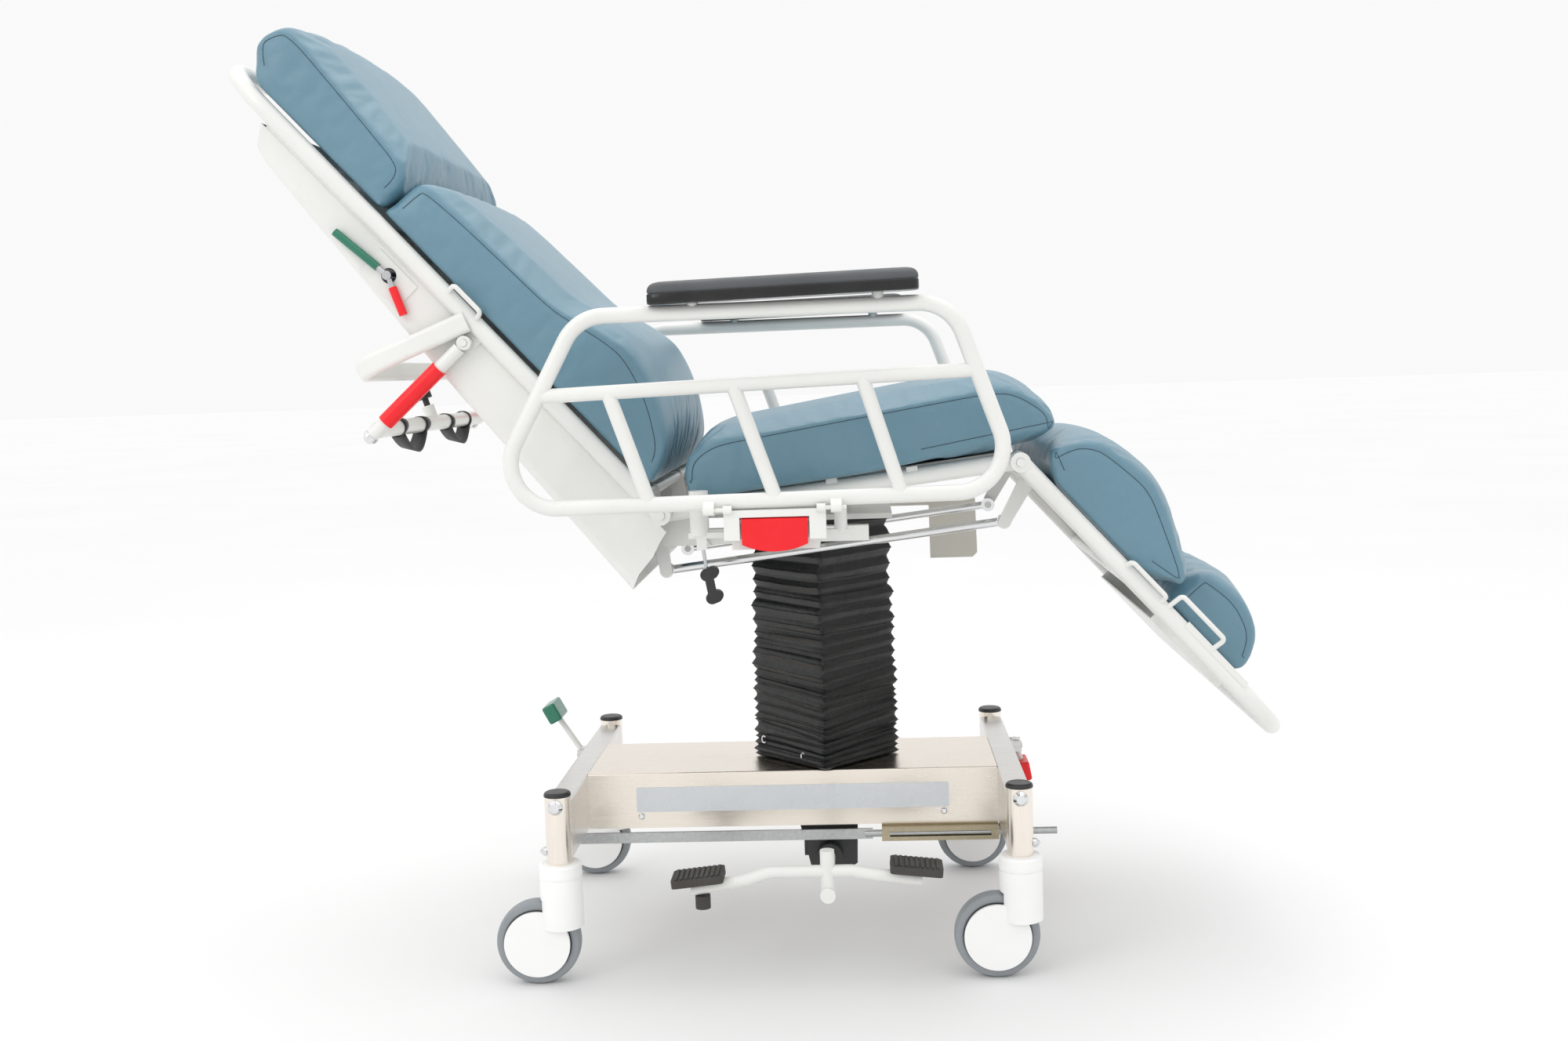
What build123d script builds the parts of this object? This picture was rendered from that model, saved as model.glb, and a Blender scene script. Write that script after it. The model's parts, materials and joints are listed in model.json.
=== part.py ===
from build123d import *
import math
import os

# A mobile reclining procedure chair on a stretcher base: four swivel casters, a hydraulic column
# inside a bellows, and seat, back, leg and foot sections that fold flat together.
# Millimetres, +Z up, +X towards the foot end, -Y on the operator's side ("near").

os.makedirs("parts", exist_ok=True)

# ---------------------------------------------------------------- driving dimensions
origin_shift = 25.1                     # base centre to the middle of the whole chair, along X

post_x, post_y = 336.5, 260.0           # corner post centres
post_radius, post_wall = 19.0, 2.5
post_bottom, post_top = 180.0, 280.0

spine_half_width = 104.0                # box cover along the middle of the base
spine_bottom, spine_top = 184.0, 271.0
spine_end = 318.0
sheet = 1.5                             # sheet metal thickness of the cover

column_x = 54.0                         # lifting column and bellows
lift_travel = 240.0
chassis_bottom = 662.0                  # underside of the top plate, lift fully up

wheel_radius, tyre_half_width = 62.5, 15.0
caster_trail = 36.0

frame_tube = 25.4                       # seat, back and leg frame tubes
frame_y = 290.0                         # back and leg side tubes
seat_tube_y = 262.0
cushion_half_width = 300.0
seat_length = 510.0                     # back pivot to leg pivot
seat_angle, back_angle, leg_angle = 6.8, 132.4, -47.6
crank_x, crank_z = -12.0, -96.0         # both link cranks, measured from their pivots
link_y = 150.0

rail_y = 371.0
rail_tube = 22.0
rail_hinge_y, rail_hinge_z = 387.0, 703.0

pin_play = 0.3                          # radial clearance of every turning pin

brake_pivot_z, brake_pedal_y = 240.0, 170.0
brake_pedals = {
    "head": {"pivot_x": -372.0, "toe": (-412.0, 302.0), "tilt": 118.0},
    "foot": {"pivot_x": 372.0, "toe": (380.0, 214.0), "tilt": -80.0},
}

near_far = {"near": -1, "far": 1}


# ---------------------------------------------------------------- reference frames
def direction(angle):
    """Unit vector in the XZ plane, angle in degrees above +X."""
    return Vector(math.cos(math.radians(angle)), 0, math.sin(math.radians(angle)))


back_pivot = Vector(origin_shift - 163.0, 0, 690.5)
leg_pivot = back_pivot + direction(seat_angle) * seat_length
base_view = Plane(origin=(origin_shift, 0, 0), x_dir=(1, 0, 0), z_dir=(0, -1, 0))
seat_view = Plane(origin=back_pivot, x_dir=direction(seat_angle), z_dir=(0, -1, 0))
back_view = Plane(origin=back_pivot, x_dir=direction(back_angle), z_dir=(0, 1, 0))
leg_view = Plane(origin=leg_pivot, x_dir=direction(leg_angle), z_dir=(0, -1, 0))


def spot(view, along, up, y=0.0):
    """World point from a section's own side view and the distance y across the chair."""
    return view.origin + view.x_dir * along + view.y_dir * up + Vector(0, y, 0)


def at_y(view, y):
    """A section's side view moved across the chair."""
    return Plane(origin=view.origin + Vector(0, y, 0), x_dir=view.x_dir, z_dir=view.z_dir)


# ---------------------------------------------------------------- shared features
def bar(start, end, diameter, mode=Mode.ADD):
    """Straight round bar, pin or bore in the current part."""
    start = Vector(start)
    run = Vector(end) - start
    with BuildSketch(Plane(origin=start, z_dir=run)) as section:
        Circle(diameter / 2)
    extrude(section.sketch, amount=run.length, mode=mode)


def bent_tube(points, bend_radius, diameter, close=False, mode=Mode.ADD):
    """Round tube along straight runs joined by arcs, in the current part."""
    with BuildLine() as route:
        FilletPolyline(*points, radius=bend_radius, close=close)
    with BuildSketch(Plane(origin=route.line @ 0, z_dir=route.line % 0)) as section:
        Circle(diameter / 2)
    sweep(section.sketch, path=route.line, mode=mode)


def block(view, along_range, up_range, y_range, mode=Mode.ADD):
    """Rectangular block in a section's own directions, in the current part."""
    (a0, a1), (u0, u1), (y0, y1) = along_range, up_range, y_range
    with BuildSketch(at_y(view, y0)) as section:
        with Locations(((a0 + a1) / 2, (u0 + u1) / 2)):
            Rectangle(a1 - a0, u1 - u0)
    extrude(section.sketch, amount=abs(y1 - y0), dir=(0, math.copysign(1, y1 - y0), 0), mode=mode)


def outline_plate(view, points, y_start, y_end):
    """Flat plate with a polygon outline in a section's side view, in the current part."""
    with BuildSketch(at_y(view, y_start)) as section:
        with BuildLine():
            Polyline(*points, close=True)
        make_face()
    extrude(section.sketch, amount=abs(y_end - y_start), dir=(0, math.copysign(1, y_end - y_start), 0))


def dome(base, outward, radius, height):
    """Domed bolt head or nut standing on a surface, in the current part."""
    collar = 0.45 * height
    crown = height - collar
    bar(base, Vector(base) + Vector(outward) * collar, 2 * radius)
    with BuildSketch(Plane(origin=Vector(base) + Vector(outward) * collar, z_dir=outward)) as section:
        Circle(radius)
    extrude(section.sketch, amount=crown, taper=42)


def cushion_solid(view, points, half_width, edge):
    """Plain foam block: an outline across the full width with bevelled sides, in the current part."""
    with BuildSketch(view) as section:
        with BuildLine():
            Polyline(*points, close=True)
        make_face()
    extrude(section.sketch, amount=half_width, both=True)
    chamfer(faces().sort_by(Axis.Y)[0].edges(), edge)
    chamfer(faces().sort_by(Axis.Y)[-1].edges(), edge)


def post_places():
    """The four corner post centres."""
    return [(origin_shift + sx * post_x, sy * post_y) for sx in (-1, 1) for sy in (-1, 1)]


# ================================================================ base
with BuildPart() as spine_cover:
    with BuildSketch(Plane.XY.offset(spine_bottom)):
        with Locations((origin_shift, 0)):
            Rectangle(2 * spine_end, 2 * spine_half_width)
    extrude(amount=spine_top - spine_bottom)
    fillet(faces().sort_by(Axis.Z)[-1].edges().filter_by(Axis.X), 3)
    end_faces = faces().sort_by(Axis.X)
    offset(amount=-sheet, openings=[faces().sort_by(Axis.Z)[0], end_faces[0], end_faces[-1]])
    with BuildSketch(Plane.XY.offset(spine_top)):
        with Locations((origin_shift + column_x, 0)):
            Circle(64)
    extrude(amount=-2 * sheet, mode=Mode.SUBTRACT)

spine_cover.part.label = "spine_cover"
export_step(spine_cover.part, "parts/spine_cover.step")

crossbar_width = 38.0
beam_y = 78.0
with BuildPart() as base_frame:
    for end in (-1, 1):
        centre = end * (spine_end + crossbar_width / 2)
        with BuildSketch(base_view):
            with Locations((centre, (spine_bottom + spine_top) / 2)):
                RectangleRounded(crossbar_width, spine_top - spine_bottom, 4)
                Rectangle(crossbar_width - 6, spine_top - spine_bottom - 6, mode=Mode.SUBTRACT)
        extrude(amount=post_y - 10, both=True)
    for side in (-1, 1):
        block(base_view, (-spine_end, spine_end), (190, 226), (side * (beam_y - 12), side * (beam_y + 12)))
    with BuildSketch(Plane.XY.offset(190)):
        with Locations((origin_shift + column_x, 0)):
            Rectangle(180, 2 * beam_y - 24)
    extrude(amount=8)
    for pedal in brake_pedals.values():
        pivot_x = pedal["pivot_x"]
        wall_x = math.copysign(spine_end + crossbar_width, pivot_x)
        inner_x, outer_x = sorted((wall_x, pivot_x + math.copysign(9, pivot_x)))
        for side in (-1, 1):
            block(base_view, (inner_x, outer_x), (brake_pivot_z - 9, brake_pivot_z + 9),
                  (brake_pedal_y + side * 12, brake_pedal_y + side * 16))
        bar(spot(base_view, pivot_x, brake_pivot_z, brake_pedal_y - 14),
            spot(base_view, pivot_x, brake_pivot_z, brake_pedal_y + 14), 10)
    with BuildSketch(Plane.XY.offset(spine_bottom - 2)):
        with Locations(*post_places()):
            Circle(post_radius)
    extrude(amount=spine_top - spine_bottom + 4, mode=Mode.SUBTRACT)

base_frame.part.label = "base_frame"
export_step(base_frame.part, "parts/base_frame.step")

with BuildPart() as corner_posts:
    with BuildSketch(Plane.XY.offset(post_bottom)):
        with Locations(*post_places()):
            Circle(post_radius)
            Circle(post_radius - post_wall, mode=Mode.SUBTRACT)
    extrude(amount=post_top - post_bottom)

corner_posts.part.label = "corner_posts"
export_step(corner_posts.part, "parts/corner_posts.step")

with BuildPart() as post_caps:
    with BuildSketch(Plane.XY.offset(post_top)):
        with Locations(*post_places()):
            Circle(post_radius + 1)
    extrude(amount=6.5)
    fillet(edges().group_by(Axis.Z)[-1], 5)
    with BuildSketch(Plane.XY.offset(post_top)):
        with Locations(*post_places()):
            Circle(post_radius - post_wall)
    extrude(amount=-9)

post_caps.part.label = "post_caps"
export_step(post_caps.part, "parts/post_caps.step")

# Dome bolts through the posts, acorn nuts below the crossbars, and the cover's screws.
cover_screws = [(-236.0, 203.0), (235.0, 203.0)]
with BuildPart() as base_fasteners:
    for x, y in post_places():
        out_y = math.copysign(1, y)
        out_x = math.copysign(1, x - origin_shift)
        dome((x, y + out_y * (post_radius - 1), 267), (0, out_y, 0), 11, 9)
        dome((x + out_x * (post_radius - 1), y, 197), (out_x, 0, 0), 7, 11)
    with BuildSketch(Plane.XY.offset(post_bottom)):
        with Locations(*post_places()):
            Circle(post_radius)
    extrude(amount=post_top - post_bottom, mode=Mode.SUBTRACT)
    for x, z in cover_screws:
        for side in (-1, 1):
            dome(spot(base_view, x, z, side * spine_half_width), (0, side, 0), 5, 3)

base_fasteners.part.label = "base_fasteners"
export_step(base_fasteners.part, "parts/base_fasteners.step")

label_half_length = 243.0
with BuildPart() as label_plate:
    with BuildSketch(at_y(base_view, -spine_half_width)):
        with Locations((0, 229)):
            RectangleRounded(2 * label_half_length, 39, 3)
    extrude(amount=1, dir=(0, -1, 0))

label_plate.part.label = "label_plate"
export_step(label_plate.part, "parts/label_plate.step")

# Brake linkage: a flat bar that becomes a round rod and runs in a slotted channel.
brake_rod_y, brake_rod_z = -111.0, 171.0
with BuildPart() as brake_rod:
    block(base_view, (-340, 124), (brake_rod_z - 8, brake_rod_z + 8), (brake_rod_y - 2.5, brake_rod_y + 2.5))
    rod_start = spot(base_view, 112, brake_rod_z, brake_rod_y)
    bar(rod_start, spot(base_view, 407, brake_rod_z, brake_rod_y), 11)

brake_rod.part.label = "brake_rod"
export_step(brake_rod.part, "parts/brake_rod.step")

with BuildPart() as rod_guide:
    block(base_view, (138, 318), (brake_rod_z - 10.5, brake_rod_z + 10.5), (-119, -102.5))
    block(base_view, (136, 320), (brake_rod_z - 8.5, brake_rod_z + 8.5), (-117, -104.5), mode=Mode.SUBTRACT)
    block(base_view, (150, 306), (brake_rod_z - 4, brake_rod_z + 4), (-121, -116), mode=Mode.SUBTRACT)
    block(base_view, (138, 318), (brake_rod_z + 8.5, 206), (-102.5, -100))

rod_guide.part.label = "rod_guide"
export_step(rod_guide.part, "parts/rod_guide.step")

# Pump bracket with the bush that carries the pedal shaft.
pedal_x, pedal_z, pedal_shaft = 57.0, 139.0, 16.0
with BuildPart() as pump_bracket:
    outline_plate(base_view, [(10, 190), (101, 190), (99, 121), (90, 116), (27, 116)], -100, -94)
    bar(spot(base_view, pedal_x, pedal_z, -122), spot(base_view, pedal_x, pedal_z, -88), 38)
    bore = pedal_shaft + 2 * pin_play
    bar(spot(base_view, pedal_x, pedal_z, -130), spot(base_view, pedal_x, pedal_z, -80), bore, Mode.SUBTRACT)

pump_bracket.part.label = "pump_bracket"
export_step(pump_bracket.part, "parts/pump_bracket.step")

with BuildPart() as pump_unit:
    block(base_view, (16, 98), (128, 184), (-78, -34))
    bar(spot(base_view, pedal_x, 130, -56), spot(base_view, pedal_x, 118, -56), 30)

pump_unit.part.label = "pump_unit"
export_step(pump_unit.part, "parts/pump_unit.step")


# ================================================================ lifting column
def column_tube(outer_radius, wall, bottom, top):
    """Round tube on the column's axis, in the current part."""
    with BuildSketch(Plane.XY.offset(bottom)) as section:
        with Locations((origin_shift + column_x, 0)):
            Circle(outer_radius)
            Circle(outer_radius - wall, mode=Mode.SUBTRACT)
    extrude(section.sketch, amount=top - bottom)


with BuildPart() as column_outer:
    column_tube(60, 4, 198, 420)
    column_tube(62.5, 6.5, 198, 206)

column_outer.part.label = "column_outer"
export_step(column_outer.part, "parts/column_outer.step")

with BuildPart() as column_middle:
    column_tube(54, 5, 322, 540)

column_middle.part.label = "column_middle"
export_step(column_middle.part, "parts/column_middle.step")

with BuildPart() as column_ram:
    column_tube(47, 8, 472, chassis_bottom)

column_ram.part.label = "column_ram"
export_step(column_ram.part, "parts/column_ram.step")

# Square bellows standing on its corner, one short pyramid up and one down for every fold.
bellows_folds = 18
bellows_inner, bellows_waist, bellows_crest = 138.0, 144.0, 158.0
bellows_pitch = (chassis_bottom - spine_top) / bellows_folds
bellows_taper = math.degrees(math.atan((bellows_crest - bellows_waist) / bellows_pitch))
with BuildPart() as bellows:
    for fold in range(bellows_folds):
        foot = spine_top + fold * bellows_pitch
        with BuildSketch(Plane.XY.offset(foot)):
            with Locations((origin_shift + column_x, 0)):
                Rectangle(bellows_waist, bellows_waist, rotation=45)
        extrude(amount=bellows_pitch / 2, taper=-bellows_taper)
        with BuildSketch(Plane.XY.offset(foot + bellows_pitch / 2)):
            with Locations((origin_shift + column_x, 0)):
                Rectangle(bellows_crest, bellows_crest, rotation=45)
        extrude(amount=bellows_pitch / 2, taper=bellows_taper)
    with BuildSketch(Plane.XY.offset(spine_top)):
        with Locations((origin_shift + column_x, 0)):
            Rectangle(bellows_inner, bellows_inner, rotation=45)
    extrude(amount=chassis_bottom - spine_top, mode=Mode.SUBTRACT)

bellows.part.label = "bellows"
export_step(bellows.part, "parts/bellows.step")

# ================================================================ casters
cheek_radius, cheek_gap = 48.7, 16.5    # side cheeks beside the wheel, and their inner faces
axle = 12.0
housing_radius, housing_bottom = 31.4, 85.0
for end, end_sign in {"head": -1, "foot": 1}.items():
    for side, side_sign in near_far.items():
        swivel_x = end_sign * post_x
        swivel_y = side_sign * post_y
        wheel_x = swivel_x - caster_trail
        centre = spot(base_view, wheel_x, wheel_radius, swivel_y)

        with BuildPart() as caster_housing:
            with BuildSketch(Plane.XY.offset(housing_bottom)):
                with Locations((origin_shift + swivel_x, swivel_y)):
                    Circle(housing_radius)
            extrude(amount=post_bottom - housing_bottom)
            fillet(edges().sort_by(Axis.Z)[-1], 4)
            with BuildSketch(Plane.XY.offset(158.5)):
                with Locations((origin_shift + swivel_x, swivel_y)):
                    Circle(housing_radius + 1)
                    Circle(housing_radius - 1, mode=Mode.SUBTRACT)
            extrude(amount=2.5, mode=Mode.SUBTRACT)
            for cheek in (-1, 1):
                inner = centre + Vector(0, cheek * cheek_gap, 0)
                bar(inner, inner + Vector(0, cheek * 5, 0), 2 * cheek_radius)
            slot_start = centre - Vector(0, cheek_gap, 0)
            bar(slot_start, centre + Vector(0, cheek_gap, 0), 2 * (wheel_radius + 2.5), Mode.SUBTRACT)
            bar(slot_start, centre + Vector(0, cheek_gap, 0), axle)
            stem = spot(base_view, swivel_x, post_bottom - 2, swivel_y)
            bar(stem, stem + Vector(0, 0, 60), 24)

        caster_housing.part.label = f"caster_{end}_{side}"
        export_step(caster_housing.part, f"parts/caster_{end}_{side}.step")

        with BuildPart() as caster_wheel:
            with BuildSketch(Plane(origin=centre, x_dir=(0, 1, 0), z_dir=(1, 0, 0))):
                with BuildLine():
                    bore_radius = axle / 2 + pin_play
                    ThreePointArc((tyre_half_width, 55.5), (0, wheel_radius), (-tyre_half_width, 55.5))
                    Polyline((-tyre_half_width, 55.5), (-tyre_half_width, 51), (-6, 47), (-6, 20), (-14, 15),
                             (-14, bore_radius), (14, bore_radius), (14, 15), (6, 20), (6, 47),
                             (tyre_half_width, 51), (tyre_half_width, 55.5))
                make_face()
            revolve(axis=Axis(centre, (0, 1, 0)))

        caster_wheel.part.label = f"wheel_{end}_{side}"
        export_step(caster_wheel.part, f"parts/wheel_{end}_{side}.step")

# ================================================================ pump pedal
pedal_bar_y, pedal_tube = -296.0, 18.0
pedal_route = [spot(base_view, x, z, pedal_bar_y) for x, z in
               [(-140, 147), (-60, 160), (-26, 171), (92, 171), (118, 166), (192, 157)]]
with BuildPart() as pump_pedal_bar:
    bent_tube(pedal_route, 30, pedal_tube)
    bar(spot(base_view, pedal_x, pedal_z, pedal_bar_y), spot(base_view, pedal_x, 202, pedal_bar_y), 20.6)
    bar(spot(base_view, pedal_x, pedal_z, -84), spot(base_view, pedal_x, pedal_z, -306.5), pedal_shaft)
    bar(spot(base_view, pedal_x, pedal_z, -306), spot(base_view, pedal_x, pedal_z, -312), 22)

pump_pedal_bar.part.label = "pump_pedal_bar"
export_step(pump_pedal_bar.part, "parts/pump_pedal_bar.step")

pad_length, pad_depth, pad_thickness, pad_ribs = 75.0, 56.0, 11.0, 9
with BuildPart() as pump_pedal_pads:
    for pad_x, pad_z, pad_tilt in [(-129, 160, 6), (184, 170, -6)]:
        pad_top = Plane(origin=spot(base_view, pad_x, pad_z, pedal_bar_y), x_dir=direction(pad_tilt),
                        z_dir=direction(pad_tilt + 90))
        with BuildSketch(pad_top):
            RectangleRounded(pad_length, pad_depth, 6)
        extrude(amount=pad_thickness)
        with BuildSketch(pad_top.offset(pad_thickness)):
            with GridLocations(pad_length / (pad_ribs + 1), 1, pad_ribs, 1):
                Rectangle(4, pad_depth - 8)
        extrude(amount=2)
    bar(spot(base_view, -124, 120, pedal_bar_y), spot(base_view, -124, 139, pedal_bar_y), 22)
    bent_tube(pedal_route, 30, pedal_tube, mode=Mode.SUBTRACT)

pump_pedal_pads.part.label = "pump_pedal_pads"
export_step(pump_pedal_pads.part, "parts/pump_pedal_pads.step")

# ================================================================ brake pedals
for end, pedal in brake_pedals.items():
    pivot_x = pedal["pivot_x"]
    toe_x, toe_z = pedal["toe"]
    with BuildPart() as pedal_arm:
        bar(spot(base_view, pivot_x, brake_pivot_z, brake_pedal_y - 10),
            spot(base_view, pivot_x, brake_pivot_z, brake_pedal_y + 10), 22)
        bar(spot(base_view, pivot_x, brake_pivot_z, brake_pedal_y), spot(base_view, toe_x, toe_z, brake_pedal_y), 10)
        bore = 10 + 2 * pin_play
        bar(spot(base_view, pivot_x, brake_pivot_z, brake_pedal_y - 30),
            spot(base_view, pivot_x, brake_pivot_z, brake_pedal_y + 30), bore, Mode.SUBTRACT)

    pedal_arm.part.label = f"{end}_pedal_arm"
    export_step(pedal_arm.part, f"parts/{end}_pedal_arm.step")

    with BuildPart() as pedal_pad:
        toe_plane = Plane(origin=spot(base_view, toe_x, toe_z, brake_pedal_y), x_dir=(0, 1, 0),
                          z_dir=direction(pedal["tilt"]))
        with BuildSketch(toe_plane):
            RectangleRounded(62, 24, 5)
        extrude(amount=32)
        fillet(edges().group_by(SortBy.LENGTH)[-1], 4)
        bar(spot(base_view, pivot_x, brake_pivot_z, brake_pedal_y), spot(base_view, toe_x, toe_z, brake_pedal_y), 10,
            Mode.SUBTRACT)

    pedal_pad.part.label = f"{end}_pedal_pad"
    export_step(pedal_pad.part, f"parts/{end}_pedal_pad.step")

# ================================================================ chassis on the column
arm_inner, arm_outer = 205.0, 227.0
pivot_pin = 12.0
tilt_pin, tilt_pin_along, tilt_pin_up = 10.0, 150.0, -30.0
with BuildPart() as chassis_frame:
    block(base_view, (column_x - 116, column_x + 112), (chassis_bottom, 670), (-125, 125))
    block(base_view, (-40, 60), (652, 670), (-arm_outer, arm_outer))
    block(base_view, (-60, 162), (650, chassis_bottom), (-125, 125), mode=Mode.SUBTRACT)
    for side in (-1, 1):
        block(base_view, (-176, 130), (640, 662), (side * arm_inner, side * arm_outer))
        outline_plate(base_view, [(-176, 640), (-100, 640), (-150, 704), (-172, 706), (-179, 698)],
                      side * arm_outer, side * 235)
        block(base_view, (-30, 8), (640, 700), (side * arm_outer, side * 233))
        for arm_x in (-48, 52):
            block(base_view, (arm_x - 10, arm_x + 10), (646, 660), (side * arm_outer, side * 360))
        pin_bore = pivot_pin + 2 * pin_play
        pin_side = spot(base_view, -163, 690.5)
        bar(pin_side + Vector(0, side * 220, 0), pin_side + Vector(0, side * 240, 0), pin_bore, Mode.SUBTRACT)
        with BuildSketch(at_y(base_view, side * 226)):
            with Locations((-11.6, 672)):
                SlotCenterToCenter(23, tilt_pin + 5, rotation=90)
        extrude(amount=10, dir=(0, side, 0), mode=Mode.SUBTRACT)

chassis_frame.part.label = "chassis_frame"
export_step(chassis_frame.part, "parts/chassis_frame.step")

# Side latch castings with the recess that each release paddle works in.
casting_outer, casting_inner = 385.0, 360.0
with BuildPart() as latch_castings:
    for side in (-1, 1):
        block(base_view, (-67, 72), (661, 702), (side * casting_inner, side * casting_outer))
        block(base_view, (-45.5, 49.5), (650, 692), (side * (casting_inner + 5), side * 390), mode=Mode.SUBTRACT)
        for pin_x, reach in ((-67, -28), (72, 28)):
            hinge = spot(base_view, pin_x, rail_hinge_z, side * rail_hinge_y)
            bar(hinge - Vector(math.copysign(12, reach), 0, 0), hinge, 12)
            bar(hinge, hinge + Vector(reach, 0, 0), 6)
        bar(spot(base_view, -46, 687, side * 378), spot(base_view, 50, 687, side * 378), 4)
        block(base_view, (-58, 62), (646, 661), (side * casting_inner, side * (casting_inner + 4)))

latch_castings.part.label = "latch_castings"
export_step(latch_castings.part, "parts/latch_castings.step")

socket_bore, socket_wall, socket_x, socket_y = 9.7, 3.8, -106.0, 326.0
socket_bottom, socket_top = 668.0, 726.0
with BuildPart() as accessory_sockets:
    for side in (-1, 1):
        block(base_view, (socket_x - 15, -38), (660, 668), (side * (socket_y - 8), side * (socket_y + 8)))
        block(base_view, (42, 101), (660, 668), (side * (socket_y - 8), side * (socket_y + 8)))
        for x, outer_radius, top in ((socket_x, socket_bore + socket_wall, socket_top), (91, 9, 706)):
            foot = spot(base_view, x, 664, side * socket_y)
            bar(foot, foot + Vector(0, 0, top - 664), 2 * outer_radius)
        bore_top = spot(base_view, socket_x, socket_top + 1, side * socket_y)
        bar(bore_top, bore_top - Vector(0, 0, socket_top - socket_bottom), 2 * socket_bore, Mode.SUBTRACT)
    block(base_view, (socket_x - 4, socket_x + 10), (644, 661), (-socket_y - 7.5, -socket_y - 3.5))
    bar(spot(base_view, -103, 652, -socket_y - 5), spot(base_view, -103, 652, -socket_y + 5), 6)

accessory_sockets.part.label = "accessory_sockets"
export_step(accessory_sockets.part, "parts/accessory_sockets.step")

with BuildPart() as side_plate:
    block(base_view, (128, 300), (650, 660), (arm_outer, arm_outer + 3))
    outline_plate(base_view, [(236, 660), (316, 660), (318, 566), (310, 558), (237, 558)], 227, 230)

side_plate.part.label = "side_plate"
export_step(side_plate.part, "parts/side_plate.step")

selector_y = -socket_y
with BuildPart() as selector_rod:
    bar(spot(base_view, -103, 652, selector_y - 3), spot(base_view, -103, 652, selector_y + 3), 13)
    bar(spot(base_view, -102.3, 647, selector_y), spot(base_view, -97, 606, selector_y), 5)
    bar(spot(base_view, -103, 652, selector_y - 10), spot(base_view, -103, 652, selector_y + 10),
        6 + 2 * pin_play, Mode.SUBTRACT)

selector_rod.part.label = "selector_rod"
export_step(selector_rod.part, "parts/selector_rod.step")

with BuildPart() as selector_grip:
    with BuildSketch(at_y(base_view, selector_y)):
        with Locations((-94, 610)):
            SlotOverall(26, 17, rotation=20)
        with Locations((-88, 577)):
            SlotOverall(24, 17, rotation=20)
        with Locations((-93, 592)):
            Rectangle(11, 34, rotation=10)
    extrude(amount=8, both=True)
    bar(spot(base_view, -102.3, 647, selector_y), spot(base_view, -97, 606, selector_y), 5, Mode.SUBTRACT)

selector_grip.part.label = "selector_grip"
export_step(selector_grip.part, "parts/selector_grip.step")

# ================================================================ seat section
eye = 28.0
with BuildPart() as seat_frame:
    for side in (-1, 1):
        tube_y = side * seat_tube_y
        bar(spot(seat_view, 0, 0, tube_y), spot(seat_view, seat_length, 0, tube_y), frame_tube)
        for pivot in (0, seat_length):
            inner_y = 236 if pivot == 0 else 250
            bar(spot(seat_view, pivot, 0, side * 249), spot(seat_view, pivot, 0, side * 275), eye)
            bar(spot(seat_view, pivot, 0, side * inner_y), spot(seat_view, pivot, 0, side * 306), pivot_pin)
        bar(spot(seat_view, 0, 0, side * 226), spot(seat_view, 0, 0, side * 250), pivot_pin)
        block(seat_view, (tilt_pin_along - 15, tilt_pin_along + 15), (-42, 8), (side * 236, side * 242))
        block(seat_view, (tilt_pin_along - 15, tilt_pin_along + 15), (-8, 8), (side * 236, side * 252))
        bar(spot(seat_view, tilt_pin_along, tilt_pin_up, side * 228),
            spot(seat_view, tilt_pin_along, tilt_pin_up, side * 242), tilt_pin)
        for clip in (245, 360):
            block(seat_view, (clip - 8, clip + 8), (8, 15), (side * 258, side * 272))
    for cross in (70, 290, 470):
        bar(spot(seat_view, cross, 0, -seat_tube_y), spot(seat_view, cross, 0, seat_tube_y), 14)
    with BuildSketch(seat_view):
        with Locations((265, 14)):
            Rectangle(470, 2)
    extrude(amount=245, both=True)
    block(seat_view, (40, 490), (5, 14), (-245, -243))
    block(seat_view, (40, 490), (5, 14), (243, 245))

seat_frame.part.label = "seat_frame"
export_step(seat_frame.part, "parts/seat_frame.step")

with BuildPart() as seat_cushion:
    cushion_solid(seat_view, [(58, 16), (56, 70), (64, 92), (92, 107), (480, 115), (512, 110), (524, 92),
                              (518, 30), (500, 19), (300, 16)], cushion_half_width - 1, 12)

seat_cushion.part.label = "seat_cushion"
export_step(seat_cushion.part, "parts/seat_cushion.step")

# ================================================================ back section
back_end, end_bend = 882.0, 90.0
crank_along = crank_x * back_view.x_dir.X + crank_z * back_view.x_dir.Z
crank_up = crank_x * back_view.y_dir.X + crank_z * back_view.y_dir.Z
crank_pin = 10.0


def crank(view, along, up):
    """Pair of crank plates with their link pins, from a cross tube to the link's pin."""
    for side in (-1, 1):
        with BuildSketch(at_y(view, side * 160)) as section:
            with Locations((along, up)):
                Circle(9)
            with Locations((40, -4)):
                Circle(12)
            make_hull()
        extrude(section.sketch, amount=5, dir=(0, side, 0))
        bar(spot(view, along, up, side * 142), spot(view, along, up, side * 165), crank_pin)


def eye_end(view):
    """Bored eyes at the pivot end of a section's two side tubes."""
    for side in (-1, 1):
        bar(spot(view, 0, 0, side * 278), spot(view, 0, 0, side * 303), eye)
    for side in (-1, 1):
        bore = pivot_pin + 2 * pin_play
        bar(spot(view, 0, 0, side * 270), spot(view, 0, 0, side * 310), bore, Mode.SUBTRACT)


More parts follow.
